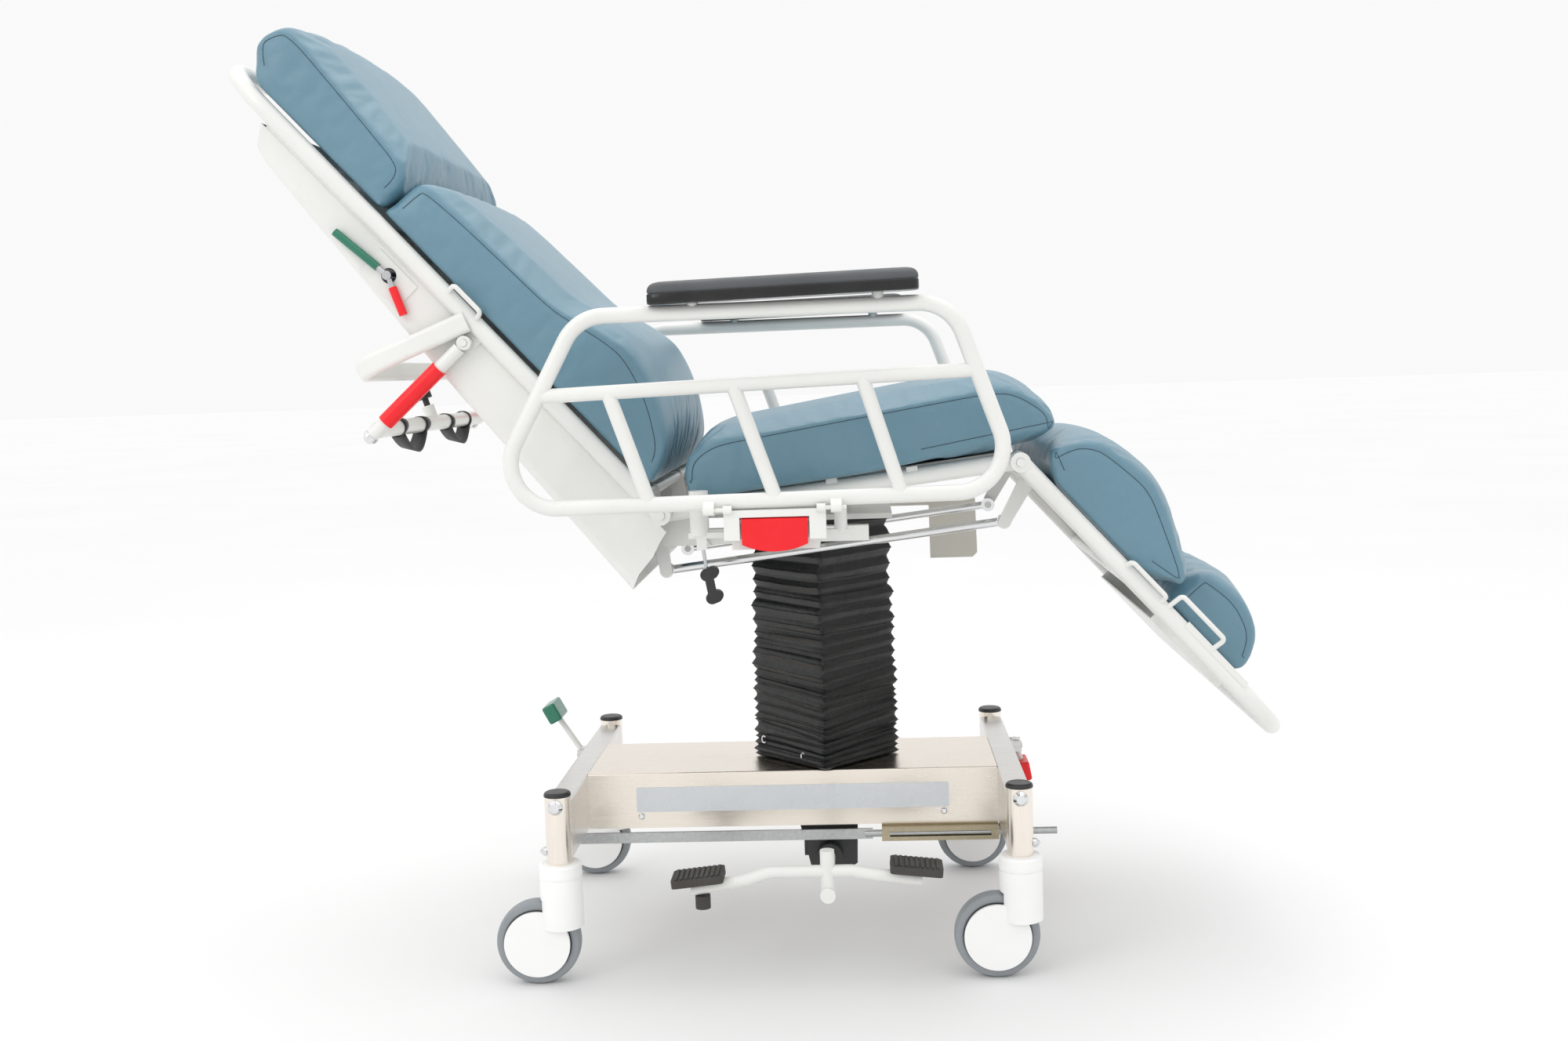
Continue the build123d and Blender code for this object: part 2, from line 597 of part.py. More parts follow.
handle_along, handle_hinge_up = 366.0, -28.0
handle_pin = 10.0
with BuildPart() as back_frame:
    bent_tube([spot(back_view, 0, 0, -frame_y), spot(back_view, back_end, 0, -frame_y),
               spot(back_view, back_end, 0, frame_y), spot(back_view, 0, 0, frame_y)], end_bend, frame_tube)
    for cross in (40, 560):
        bar(spot(back_view, cross, -3, -frame_y), spot(back_view, cross, -3, frame_y), 18)
    crank(back_view, crank_along, crank_up)
    for side in (-1, 1):
        block(back_view, (handle_along - 14, handle_along + 8), (handle_hinge_up - 8, -8), (side * 285, side * 289))
        bar(spot(back_view, handle_along, handle_hinge_up, side * 287),
            spot(back_view, handle_along, handle_hinge_up, side * 309), handle_pin)
        bent_tube([spot(back_view, 378, 2, side * 296), spot(back_view, 378, 20, side * 308),
                   spot(back_view, 432, 20, side * 308), spot(back_view, 432, 2, side * 296)], 6, 7)
    eye_end(back_view)

back_frame.part.label = "back_frame"
export_step(back_frame.part, "parts/back_frame.step")

pan_half_width, pan_sheet, pan_bend = 285.0, 2.0, 14.0


def long_lower_edges():
    """Edges where the pan's side walls meet its main bottom panels."""
    along_sides = edges().filter_by(lambda edge: abs(edge.center().Y) > 200)
    return along_sides.filter_by(lambda edge: edge.length > 300 and edge.center().Z < 1000).filter_by(
        lambda edge: (edge.center() - back_pivot).dot(back_view.y_dir) < -30)


with BuildPart() as pan_hollow:
    with BuildSketch(back_view):
        with BuildLine():
            Polyline((800, 0), (788, -14), (766.5, -44.2), (738.5, -54), (358, -85), (-60, -106), (-60, 0),
                     close=True)
        make_face()
    extrude(amount=pan_half_width - pan_sheet, both=True)
    fillet(long_lower_edges(), pan_bend - pan_sheet)

with BuildPart() as back_pan:
    with BuildSketch(back_view):
        with BuildLine():
            Polyline((786.7, -18), (768, -46), (739, -56), (358, -87), (-48, -108), (-38, -84), (-34, -52),
                     (-26, -30), (-22, -13), close=True)
        make_face()
    extrude(amount=pan_half_width, both=True)
    fillet(long_lower_edges(), pan_bend)
    add(pan_hollow.part, mode=Mode.SUBTRACT)
    for side in (-1, 1):
        block(back_view, (470, 545), (-66, -22), (side * 285, side * 287))
        bar(spot(back_view, 510, -40, side * 280), spot(back_view, 510, -40, side * 290), 22, Mode.SUBTRACT)
        bar(spot(back_view, 0, 0, side * 270), spot(back_view, 0, 0, side * 310), eye + 2, Mode.SUBTRACT)

back_pan.part.label = "back_pan"
export_step(back_pan.part, "parts/back_pan.step")

with BuildPart() as back_cushion:
    cushion_solid(back_view, [(48, 16), (39, 28), (52, 70), (104, 103), (150, 122), (200, 134), (244, 128),
                              (282, 118), (320, 108), (497, 102), (560, 84), (575, 60), (575, 16)],
                  cushion_half_width - 1, 12)

back_cushion.part.label = "back_cushion"
export_step(back_cushion.part, "parts/back_cushion.step")

with BuildPart() as head_cushion:
    cushion_solid(back_view, [(579, 16), (578, 70), (602, 98), (824, 112), (856, 104), (874, 76), (866, 44),
                              (836, 16)], cushion_half_width - 1, 12)

head_cushion.part.label = "head_cushion"
export_step(head_cushion.part, "parts/head_cushion.step")

# Push bar: a flat-oval loop standing off the back frame.
push_start, push_end, push_y = (385.0, -4.0), (446.0, -168.0), 300.0
push_run = Vector(push_end[0] - push_start[0], push_end[1] - push_start[1])
push_along = (back_view.x_dir * push_run.X + back_view.y_dir * push_run.Y).normalized()
with BuildPart() as push_bar:
    with BuildLine() as push_route:
        FilletPolyline(spot(back_view, *push_start, -push_y), spot(back_view, *push_end, -push_y),
                       spot(back_view, *push_end, push_y), spot(back_view, *push_start, push_y), radius=40)
    with BuildSketch(Plane(origin=push_route.line @ 0, x_dir=(0, 1, 0), z_dir=push_along)):
        RectangleRounded(14, 30, 6.9)
    sweep()
    for side in (-1, 1):
        tube_y = side * frame_y
        bar(spot(back_view, 300, 0, tube_y), spot(back_view, 480, 0, tube_y), frame_tube, Mode.SUBTRACT)

push_bar.part.label = "push_bar"
export_step(push_bar.part, "parts/push_bar.step")

# Recline release handle: two arms and the tube that joins them behind the back.
handle_end, handle_y = -203.0, 300.0
with BuildPart() as handle_frame:
    for side in (-1, 1):
        arm_y = side * handle_y
        bar(spot(back_view, handle_along, handle_hinge_up, side * 293.5),
            spot(back_view, handle_along, handle_hinge_up, side * 306.5), 20)
        bar(spot(back_view, handle_along, -38, arm_y), spot(back_view, handle_along, handle_end - 12, arm_y), 19)
    bar(spot(back_view, handle_along, handle_end, -handle_y), spot(back_view, handle_along, handle_end, handle_y), 24)
    bar(spot(back_view, handle_along, handle_end, 0), spot(back_view, handle_along + 26, handle_end + 12, 0), 20)
    bore = handle_pin + 2 * pin_play
    for side in (-1, 1):
        bar(spot(back_view, handle_along, handle_hinge_up, side * 280),
            spot(back_view, handle_along, handle_hinge_up, side * 320), bore, Mode.SUBTRACT)

handle_frame.part.label = "handle_frame"
export_step(handle_frame.part, "parts/handle_frame.step")

with BuildPart() as handle_grips:
    for side in (-1, 1):
        grip_top = spot(back_view, handle_along, -79, side * handle_y)
        grip_end = spot(back_view, handle_along, -188, side * handle_y)
        bar(grip_top, grip_end, 24)
        bar(grip_top, grip_end, 19, Mode.SUBTRACT)

handle_grips.part.label = "handle_grips"
export_step(handle_grips.part, "parts/handle_grips.step")

with BuildPart() as handle_ends:
    for side in (-1, 1):
        end_point = spot(back_view, handle_along, handle_end - 12, side * handle_y)
        dome(end_point, back_view.y_dir * -1, 11, 12)

handle_ends.part.label = "handle_ends"
export_step(handle_ends.part, "parts/handle_ends.step")

knob_along = spot(back_view, 26, 12) - spot(back_view, 0, 0)
with BuildPart() as handle_knob:
    knob_base = spot(back_view, handle_along, handle_end) + knob_along
    bar(knob_base, knob_base + knob_along.normalized() * 16, 10)
    bar(knob_base + knob_along.normalized() * 12, knob_base + knob_along.normalized() * 22, 24)

handle_knob.part.label = "handle_knob"
export_step(handle_knob.part, "parts/handle_knob.step")

with BuildPart() as strap_bands:
    for band_y in (-215, -95, 60, 180):
        start = spot(back_view, handle_along, handle_end, band_y)
        bar(start, start + Vector(0, 26, 0), 30)
        bar(start, start + Vector(0, 26, 0), 24, Mode.SUBTRACT)

strap_bands.part.label = "strap_bands"
export_step(strap_bands.part, "parts/strap_bands.step")

# Double-ended rocker lever on the near wall of the back pan.
rocker_pivot = (510.0, -40.0)
rocker_y = -293.0
rocker_ends = {"rocker_green": (602.0, -50.0), "rocker_red": (458.0, -62.0)}
with BuildPart() as rocker_hub:
    bar(spot(back_view, *rocker_pivot, -272), spot(back_view, *rocker_pivot, -299), 13)
    for rocker_end in rocker_ends.values():
        bar(spot(back_view, *rocker_pivot, rocker_y), spot(back_view, *rocker_end, rocker_y), 7)

rocker_hub.part.label = "rocker_hub"
export_step(rocker_hub.part, "parts/rocker_hub.step")

for name, rocker_end in rocker_ends.items():
    with BuildPart() as rocker_sleeve:
        tip = spot(back_view, *rocker_end, rocker_y)
        root = spot(back_view, *rocker_pivot, rocker_y)
        start = root + (tip - root).normalized() * 18
        bar(start, tip + (tip - root).normalized() * 3, 12)
        bar(root, tip, 7, Mode.SUBTRACT)

    rocker_sleeve.part.label = name
    export_step(rocker_sleeve.part, f"parts/{name}.step")

# ================================================================ leg and foot sections
leg_end = 540.0
leg_crank_along = crank_x * leg_view.x_dir.X + crank_z * leg_view.x_dir.Z
leg_crank_up = crank_x * leg_view.y_dir.X + crank_z * leg_view.y_dir.Z
with BuildPart() as leg_frame:
    bent_tube([spot(leg_view, 0, 0, -frame_y), spot(leg_view, leg_end, 0, -frame_y),
               spot(leg_view, leg_end, 0, frame_y), spot(leg_view, 0, 0, frame_y)], end_bend, frame_tube)
    for cross in (40, 230):
        bar(spot(leg_view, cross, -3, -frame_y), spot(leg_view, cross, -3, frame_y), 18)
    with BuildSketch(leg_view):
        with Locations((145, 12)):
            Rectangle(230, 2)
    extrude(amount=270, both=True)
    block(leg_view, (40, 50), (-6, 13), (-100, 100))
    block(leg_view, (225, 235), (-6, 13), (-100, 100))
    crank(leg_view, leg_crank_along, leg_crank_up)
    for side in (-1, 1):
        for near_end, far_end, height in ((207, 277, 16), (290, 376, 33)):
            bent_tube([spot(leg_view, near_end, 2, side * 296), spot(leg_view, near_end, height, side * 308),
                       spot(leg_view, far_end, height, side * 308), spot(leg_view, far_end, 2, side * 296)], 6, 7)
        block(leg_view, (325, 446), (6, 15), (side * 299, side * 302))
    eye_end(leg_view)

leg_frame.part.label = "leg_frame"
export_step(leg_frame.part, "parts/leg_frame.step")

with BuildPart() as leg_cushion:
    cushion_solid(leg_view, [(20, 18), (12, 33), (24, 78), (56, 104), (96, 115), (156, 117), (236, 88),
                             (286, 62), (290, 44), (270, 32), (208, 15)], cushion_half_width - 1, 12)

leg_cushion.part.label = "leg_cushion"
export_step(leg_cushion.part, "parts/leg_cushion.step")

foot_half_width = 235.0
with BuildPart() as foot_pan:
    block(leg_view, (300, 446), (-20, -18), (-foot_half_width, foot_half_width))
    for side in (-1, 1):
        block(leg_view, (300, 440), (-20, 15), (side * (foot_half_width - 2), side * foot_half_width))
        block(leg_view, (306, 330), (-3, 3), (side * foot_half_width, side * 274))
        block(leg_view, (410, 434), (-3, 3), (side * foot_half_width, side * 274))
    block(leg_view, (300, 452), (13, 15), (-foot_half_width, foot_half_width))

foot_pan.part.label = "foot_pan"
export_step(foot_pan.part, "parts/foot_pan.step")

with BuildPart() as foot_cushion:
    cushion_solid(leg_view, [(297, 15.5), (297, 86), (340, 96), (374, 98), (408, 92), (432, 78), (455, 34),
                             (450, 15.5)], foot_half_width - 1, 10)

foot_cushion.part.label = "foot_cushion"
export_step(foot_cushion.part, "parts/foot_cushion.step")

# Link rods that fold the leg section with the back section.
with BuildPart() as link_rods:
    back_pin = spot(back_view, crank_along, crank_up)
    leg_pin = spot(leg_view, leg_crank_along, leg_crank_up)
    for side in (-1, 1):
        across = Vector(0, side * link_y, 0)
        bar(back_pin + across, leg_pin + across, 13)
        for pin_point in (back_pin, leg_pin):
            bar(pin_point + Vector(0, side * 142.5, 0), pin_point + Vector(0, side * 157.5, 0), 22)
        for pin_point in (back_pin, leg_pin):
            bore = crank_pin + 2 * pin_play
            bar(pin_point + Vector(0, side * 130, 0), pin_point + Vector(0, side * 170, 0), bore, Mode.SUBTRACT)

link_rods.part.label = "link_rods"
export_step(link_rods.part, "parts/link_rods.step")

# ================================================================ side rails
rail_corners = [(-258, 970), (247, 974), (339, 718), (-400, 709)]
mid_rail = [(-314, 864), (279, 882)]
rail_posts = [((-220, 867), (-168, 712)), ((-49, 872), (5, 714)), ((126, 877), (176, 716))]
arm_pad_tilt = 1.5
for side, side_sign in near_far.items():
    y = side_sign * rail_y
    with BuildPart() as side_rail:
        bent_tube([spot(base_view, x, z, y) for x, z in rail_corners], 62, rail_tube, close=True)
        bar(spot(base_view, *mid_rail[0], y), spot(base_view, *mid_rail[1], y), 20)
        for top, bottom in rail_posts:
            bar(spot(base_view, *top, y), spot(base_view, *bottom, y), 20)
        for pad_x, pad_z in ((-100, 983.2), (150, 989.7)):
            bar(spot(base_view, pad_x, 972, y), spot(base_view, pad_x, pad_z, y), 16)
        for lug_x in (-94, 79):
            with BuildSketch(Plane(origin=spot(base_view, lug_x, 0), x_dir=(0, 1, 0), z_dir=(1, 0, 0))):
                with Locations((y, 713)):
                    Circle(8)
                with Locations((side_sign * rail_hinge_y, rail_hinge_z)):
                    Circle(7)
                make_hull()
            extrude(amount=15)
            hinge = spot(base_view, lug_x, rail_hinge_z, side_sign * rail_hinge_y)
            bar(hinge, hinge + Vector(15, 0, 0), 6 + 2 * pin_play, Mode.SUBTRACT)

    side_rail.part.label = f"rail_{side}"
    export_step(side_rail.part, f"parts/rail_{side}.step")

    with BuildPart() as arm_pad:
        pad_base = Plane(origin=spot(base_view, 23, 987, y), x_dir=direction(arm_pad_tilt),
                         z_dir=direction(90 + arm_pad_tilt))
        with BuildSketch(pad_base):
            RectangleRounded(365, 65, 24)
        extrude(amount=30)
        fillet(edges().group_by(Axis.Z)[-1], 5)

    arm_pad.part.label = f"arm_pad_{side}"
    export_step(arm_pad.part, f"parts/arm_pad_{side}.step")

    with BuildPart() as paddle:
        with BuildSketch(at_y(base_view, side_sign * 380)):
            with BuildLine():
                Polyline((-43, 655), (-43, 690), (47, 690), (47, 655))
                ThreePointArc((47, 655), (2, 645), (-43, 655))
            make_face()
        extrude(amount=6, dir=(0, side_sign, 0))
        bar(spot(base_view, -43, 687, side_sign * 378), spot(base_view, 47, 687, side_sign * 378), 9)
        bar(spot(base_view, -43, 687, side_sign * 378), spot(base_view, 47, 687, side_sign * 378),
            4 + 2 * pin_play, Mode.SUBTRACT)

    paddle.part.label = f"paddle_{side}"
    export_step(paddle.part, f"parts/paddle_{side}.step")
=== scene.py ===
import json
import math
import random

import bmesh
import bpy
from mathutils import Matrix, Vector
from mathutils.bvhtree import BVHTree


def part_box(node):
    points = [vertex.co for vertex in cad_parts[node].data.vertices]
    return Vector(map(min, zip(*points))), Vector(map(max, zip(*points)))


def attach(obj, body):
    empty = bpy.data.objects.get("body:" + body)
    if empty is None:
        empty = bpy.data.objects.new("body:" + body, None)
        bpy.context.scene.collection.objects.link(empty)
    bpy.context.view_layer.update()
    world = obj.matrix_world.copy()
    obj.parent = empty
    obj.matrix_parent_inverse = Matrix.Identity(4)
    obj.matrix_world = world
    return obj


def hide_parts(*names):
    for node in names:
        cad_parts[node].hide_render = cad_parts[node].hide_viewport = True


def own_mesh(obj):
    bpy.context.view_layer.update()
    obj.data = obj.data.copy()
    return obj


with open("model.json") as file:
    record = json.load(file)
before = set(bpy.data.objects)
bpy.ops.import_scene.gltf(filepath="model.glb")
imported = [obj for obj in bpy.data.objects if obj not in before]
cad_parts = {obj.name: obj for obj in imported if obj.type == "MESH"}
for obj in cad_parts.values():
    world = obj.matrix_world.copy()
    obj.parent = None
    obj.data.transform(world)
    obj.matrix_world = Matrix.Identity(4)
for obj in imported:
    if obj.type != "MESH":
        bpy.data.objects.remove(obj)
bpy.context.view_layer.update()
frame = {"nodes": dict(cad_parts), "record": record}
nodes = frame["nodes"]
chance = random.Random(7)
mm = 0.001


# ---------------------------------------------------------------- section views
class View:
    """A hinged section seen from the side: u runs along it from its hinge at x, z, and v runs up from it."""

    def __init__(self, x, z, along, up):
        self.x = x
        self.z = z
        self.along = along
        self.up = up

    def point(self, u, v, y):
        x = self.x + u * self.along[0] + v * self.up[0]
        z = self.z + u * self.along[1] + v * self.up[1]
        return Vector((x, y, z))

    def local(self, p):
        dx = p.x - self.x
        dz = p.z - self.z
        u = dx * self.along[0] + dz * self.along[1]
        v = dx * self.up[0] + dz * self.up[1]
        return u, v


back_hinge_x, back_hinge_z = -0.1379, 0.6905
back_view = View(back_hinge_x, back_hinge_z, (-0.6743, 0.7384), (0.7384, 0.6743))
seat_view = View(back_hinge_x, back_hinge_z, (0.9930, 0.1184), (-0.1184, 0.9930))
leg_view = View(0.3685, 0.7509, (0.6743, -0.7384), (0.7384, 0.6743))


# ---------------------------------------------------------------- material kit
def srgb(r, g, b):
    """A linear colour from an 8-bit sRGB one."""
    def part(c):
        c = c / 255
        return c / 12.92 if c <= 0.04045 else ((c + 0.055) / 1.055) ** 2.4

    return (part(r), part(g), part(b), 1.0)


class Paint:
    """A node tree with one Principled shader and short calls for what feeds it."""

    def __init__(self, name, metallic=0.0, specular=0.5, coat=0.0, coat_rough=0.1, sheen=0.0, aniso=0.0):
        self.material = bpy.data.materials.new(name)
        self.material.use_nodes = True
        self.tree = self.material.node_tree
        self.shader = self.tree.nodes["Principled BSDF"]
        self.set("Metallic", metallic)
        self.set("Specular IOR Level", specular)
        self.set("Coat Weight", coat)
        self.set("Coat Roughness", coat_rough)
        self.set("Sheen Weight", sheen)
        self.set("Anisotropic", aniso)
        self.coords = self.tree.nodes.new("ShaderNodeTexCoord").outputs["Object"]

    def set(self, socket, value):
        self.shader.inputs[socket].default_value = value

    def link(self, a, b):
        self.tree.links.new(a, b)

    def stretch(self, scale):
        node = self.tree.nodes.new("ShaderNodeMapping")
        node.inputs["Scale"].default_value = scale
        self.link(self.coords, node.inputs["Vector"])
        return node.outputs["Vector"]

    def noise(self, scale, detail=3.0, rough=0.55, coords=None, distortion=0.0):
        node = self.tree.nodes.new("ShaderNodeTexNoise")
        node.inputs["Scale"].default_value = scale
        node.inputs["Detail"].default_value = detail
        node.inputs["Roughness"].default_value = rough
        node.inputs["Distortion"].default_value = distortion
        self.link(coords or self.coords, node.inputs["Vector"])
        return node.outputs["Fac"]

    def cells(self, scale):
        node = self.tree.nodes.new("ShaderNodeTexVoronoi")
        node.feature = "DISTANCE_TO_EDGE"
        node.inputs["Scale"].default_value = scale
        self.link(self.coords, node.inputs["Vector"])
        return node.outputs["Distance"]

    def wave(self, scale, direction, distortion=0.0):
        node = self.tree.nodes.new("ShaderNodeTexWave")
        node.bands_direction = direction
        node.inputs["Scale"].default_value = scale
        node.inputs["Distortion"].default_value = distortion
        self.link(self.coords, node.inputs["Vector"])
        return node.outputs["Fac"]

    def span(self, value, low, high, to_low=0.0, to_high=1.0):
        node = self.tree.nodes.new("ShaderNodeMapRange")
        node.inputs["From Min"].default_value = low
        node.inputs["From Max"].default_value = high
        node.inputs["To Min"].default_value = to_low
        node.inputs["To Max"].default_value = to_high
        self.link(value, node.inputs["Value"])
        return node.outputs["Result"]

    def sum(self, a, b, operation="ADD"):
        node = self.tree.nodes.new("ShaderNodeMath")
        node.operation = operation
        for socket, value in zip(node.inputs, (a, b)):
            if isinstance(value, (int, float)):
                socket.default_value = value
            else:
                self.link(value, socket)
        return node.outputs["Value"]

    def mix(self, factor, a, b):
        node = self.tree.nodes.new("ShaderNodeMix")
        node.data_type = "RGBA"
        self.link(factor, node.inputs["Factor"])
        for socket, value in ((node.inputs["A"], a), (node.inputs["B"], b)):
            socket = next(s for s in node.inputs if s.name == socket.name and s.type == "RGBA")
            if isinstance(value, tuple):
                socket.default_value = value
            else:
                self.link(value, socket)
        return next(s for s in node.outputs if s.type == "RGBA")

    def bump(self, height, strength, distance, below=None):
        node = self.tree.nodes.new("ShaderNodeBump")
        node.inputs["Strength"].default_value = strength
        node.inputs["Distance"].default_value = distance
        self.link(height, node.inputs["Height"])
        if below is not None:
            self.link(below, node.inputs["Normal"])
        return node.outputs["Normal"]

    def finish(self, colour, rough, normal=None):
        self.link(colour, self.shader.inputs["Base Color"])
        self.link(rough, self.shader.inputs["Roughness"])
        if normal is not None:
            self.link(normal, self.shader.inputs["Normal"])
        return self.material


def darker(colour, share):
    return (colour[0] * share, colour[1] * share, colour[2] * share, 1.0)


def enamel(name, colour, rough=(0.28, 0.42), soil=0.92, coat=0.25):
    """Sprayed or powder-coated metal: fine orange peel, soft blotches, small scuffs."""
    p = Paint(name, coat=coat, coat_rough=0.12)
    blotch = p.noise(6, detail=5)
    peel = p.noise(420, detail=2)
    scuff = p.span(p.noise(90, detail=6, rough=0.7), 0.62, 0.72)
    base = p.mix(p.span(blotch, 0.3, 0.7), darker(colour, soil), colour)
    worn = p.mix(p.sum(scuff, 0.22, "MULTIPLY"), base, darker(colour, 0.72))
    shine = p.span(p.noise(14, detail=4), 0.3, 0.7, rough[0], rough[1])
    return p.finish(worn, shine, p.bump(peel, 0.18, 0.0004))


def plastic(name, colour, rough=(0.35, 0.5), grain=700, depth=0.25, soil=0.85, coat=0.0):
    """Moulded plastic or rubber with a sparked texture and a little dust."""
    p = Paint(name, coat=coat, coat_rough=0.15)
    tex = p.noise(grain, detail=3, rough=0.6)
    dust = p.span(p.noise(18, detail=6, rough=0.65), 0.45, 0.75)
    dust_share, dust_tone = 0.1, 0.4
    pale = tuple(c * 0.9 + dust_share * dust_tone for c in colour[:3]) + (1.0,)
    base = p.mix(p.span(p.noise(9), 0.3, 0.7), darker(colour, soil), colour)
    dusty = p.mix(p.sum(dust, 0.25, "MULTIPLY"), base, pale)
    shine = p.span(p.noise(30, detail=4), 0.3, 0.7, rough[0], rough[1])
    return p.finish(dusty, shine, p.bump(tex, depth, 0.0005))


def metal(name, colour, rough=(0.12, 0.3), streak=None, tint=0.85, depth=0.08, soil=0.3):
    """Bare or plated metal. streak is the mapping scale that draws the brush lines out."""
    p = Paint(name, metallic=1.0, aniso=0.35 if streak else 0.0)
    coords = p.stretch(streak) if streak else None
    lines = p.noise(420 if streak else 160, detail=4, rough=0.65, coords=coords)
    cloud = p.noise(7, detail=6, rough=0.6)
    base = p.mix(p.span(lines, 0.3, 0.7), darker(colour, tint), colour)
    stain = p.mix(p.sum(p.span(cloud, 0.5, 0.75), soil, "MULTIPLY"), base, darker(colour, 0.75))
    shine = p.span(p.sum(p.sum(lines, cloud), 0.5, "MULTIPLY"), 0.3, 0.7, rough[0], rough[1])
    return p.finish(stain, shine, p.bump(lines, depth, 0.0003))


def vinyl_material():
    p = Paint("vinyl_teal", specular=0.55, coat=0.3, coat_rough=0.34)
    colour = srgb(101, 141, 159)
    grain = p.cells(1300)
    fold = p.noise(260, detail=4, rough=0.6)
    crease = p.noise(26, detail=5, rough=0.55, distortion=0.6)
    cloud = p.noise(3.2, detail=4)
    base = p.mix(p.span(cloud, 0.3, 0.7), darker(colour, 0.90), colour)
    # painted shade: the colour is darkened in the hollows of the vinyl grain, where its bump is lowest
    shaded_grain = p.mix(p.span(grain, 0.0, 0.12), darker(colour, 0.78), base)
    rub = p.span(p.noise(60, detail=6, rough=0.7), 0.6, 0.75)
    worn = p.mix(p.sum(rub, 0.12, "MULTIPLY"), shaded_grain, srgb(150, 176, 188))
    shine = p.span(p.sum(p.sum(fold, crease), 0.5, "MULTIPLY"), 0.3, 0.7, 0.36, 0.50)
    height = p.sum(p.span(grain, 0.0, 0.25), p.sum(fold, 0.6, "MULTIPLY"))
    fine = p.bump(height, 0.22, 0.0003)
    broad = p.bump(crease, 0.25, 0.0016, fine)
    return p.finish(worn, shine, broad)


def bellows_material():
    p = Paint("bellows_black", specular=0.5, coat=0.15, coat_rough=0.3)
    colour = srgb(14, 16, 17)
    crinkle = p.noise(75, detail=6, rough=0.65, distortion=0.8)
    grain = p.noise(700, detail=2)
    pale = p.span(p.noise(24, detail=6, rough=0.7), 0.52, 0.8)
    base = p.mix(p.span(p.noise(8), 0.3, 0.7), darker(colour, 0.7), colour)
    dusty = p.mix(p.sum(pale, 0.08, "MULTIPLY"), base, srgb(66, 70, 72))
    shine = p.span(crinkle, 0.3, 0.7, 0.30, 0.52)
    fine = p.bump(grain, 0.2, 0.0003)
    return p.finish(dusty, shine, p.bump(crinkle, 0.5, 0.002, fine))


def webbing_material():
    p = Paint("webbing_black", sheen=0.3)
    colour = srgb(36, 37, 40)
    warp = p.wave(420, "Y")
    weft = p.wave(300, "DIAGONAL", distortion=0.6)
    weave = p.sum(warp, weft, "MULTIPLY")
    fuzz = p.noise(900, detail=3)
    base = p.mix(weave, darker(colour, 0.55), colour)
    lint = p.mix(p.span(fuzz, 0.6, 0.8, 0.0, 0.3), base, srgb(92, 92, 92))
    shine = p.span(fuzz, 0.3, 0.7, 0.7, 0.9)
    return p.finish(lint, shine, p.bump(weave, 0.6, 0.0008))


def label_material():
    p = Paint("label_film", coat=0.4, coat_rough=0.08)
    colour = srgb(214, 217, 219)
    sweep = p.span(p.noise(4, detail=2), 0.3, 0.7)
    base = p.mix(sweep, srgb(204, 208, 212), colour)
    spot = p.mix(p.span(p.noise(240, detail=3), 0.66, 0.8, 0.0, 0.25), base, srgb(180, 184, 190))
    shine = p.span(p.noise(40), 0.3, 0.7, 0.22, 0.34)
    return p.finish(spot, shine, p.bump(p.noise(300), 0.06, 0.0002))


def thread_material():
    p = Paint("thread_dark", sheen=0.2)
    twist = p.wave(900, "DIAGONAL")
    base = p.mix(twist, srgb(34, 58, 72), srgb(52, 82, 98))
    shine = p.span(p.noise(400), 0.3, 0.7, 0.55, 0.75)
    return p.finish(base, shine, p.bump(twist, 0.5, 0.0003))


brushed_long, brushed_up, ground_up = (0.03, 1, 1), (1, 1, 0.04), (1, 1, 0.05)
finish = {
    "stainless": metal("stainless_side", srgb(238, 230, 219), (0.2, 0.32), brushed_long, tint=0.94, soil=0.1),
    "stainless_top": metal("stainless_top", srgb(226, 224, 221), (0.24, 0.36), brushed_long, soil=0.1),
    "stainless_post": metal(
        "stainless_post", srgb(244, 236, 226), (0.16, 0.28), brushed_up, tint=0.92, soil=0.1),
    "frame_white": enamel("frame_white", srgb(233, 233, 229)),
    "frame_grey": enamel("frame_grey", srgb(206, 204, 198), rough=(0.35, 0.5)),
    "black_plastic": plastic("black_plastic", srgb(38, 38, 40), rough=(0.3, 0.45)),
    "chrome": metal("chrome", srgb(226, 227, 228), (0.05, 0.14), tint=0.95, depth=0.03),
    "zinc": metal("zinc", srgb(196, 198, 198), (0.28, 0.42), tint=0.8),
    "bronze_steel": metal("bronze_steel", srgb(190, 178, 152), (0.3, 0.45), tint=0.8),
    "label": label_material(),
    "black_paint": enamel("black_paint", srgb(32, 33, 35), rough=(0.35, 0.5), soil=0.8),
    "steel": metal("steel_ram", srgb(205, 206, 208), (0.1, 0.2), ground_up),
    "bellows": bellows_material(),
    "caster_white": plastic("caster_white", srgb(248, 248, 247), rough=(0.28, 0.4), depth=0.08, soil=0.95),
    "tyre": plastic("tyre_grey", srgb(148, 153, 157), rough=(0.5, 0.65), grain=500, soil=0.88),
    "pedal_rubber": plastic("pedal_rubber", srgb(64, 61, 57), rough=(0.55, 0.72), grain=500, depth=0.4),
    "green": plastic("grip_green", srgb(24, 118, 92), rough=(0.2, 0.3), grain=220, depth=0.12, coat=0.3),
    "red": plastic("grip_red", srgb(240, 2, 22), rough=(0.3, 0.42), grain=240, depth=0.12, soil=0.94),
    "vinyl": vinyl_material(),
    "beige": enamel("beige_enamel", srgb(226, 222, 212)),
    "strap": webbing_material(),
    "arm_pad": plastic("arm_pad_top", srgb(80, 83, 86), rough=(0.42, 0.58), grain=900, depth=0.55),
    "arm_skirt": plastic("arm_pad_skirt", srgb(11, 11, 12), rough=(0.16, 0.26), grain=200, depth=0.06),
    "thread": thread_material(),
}

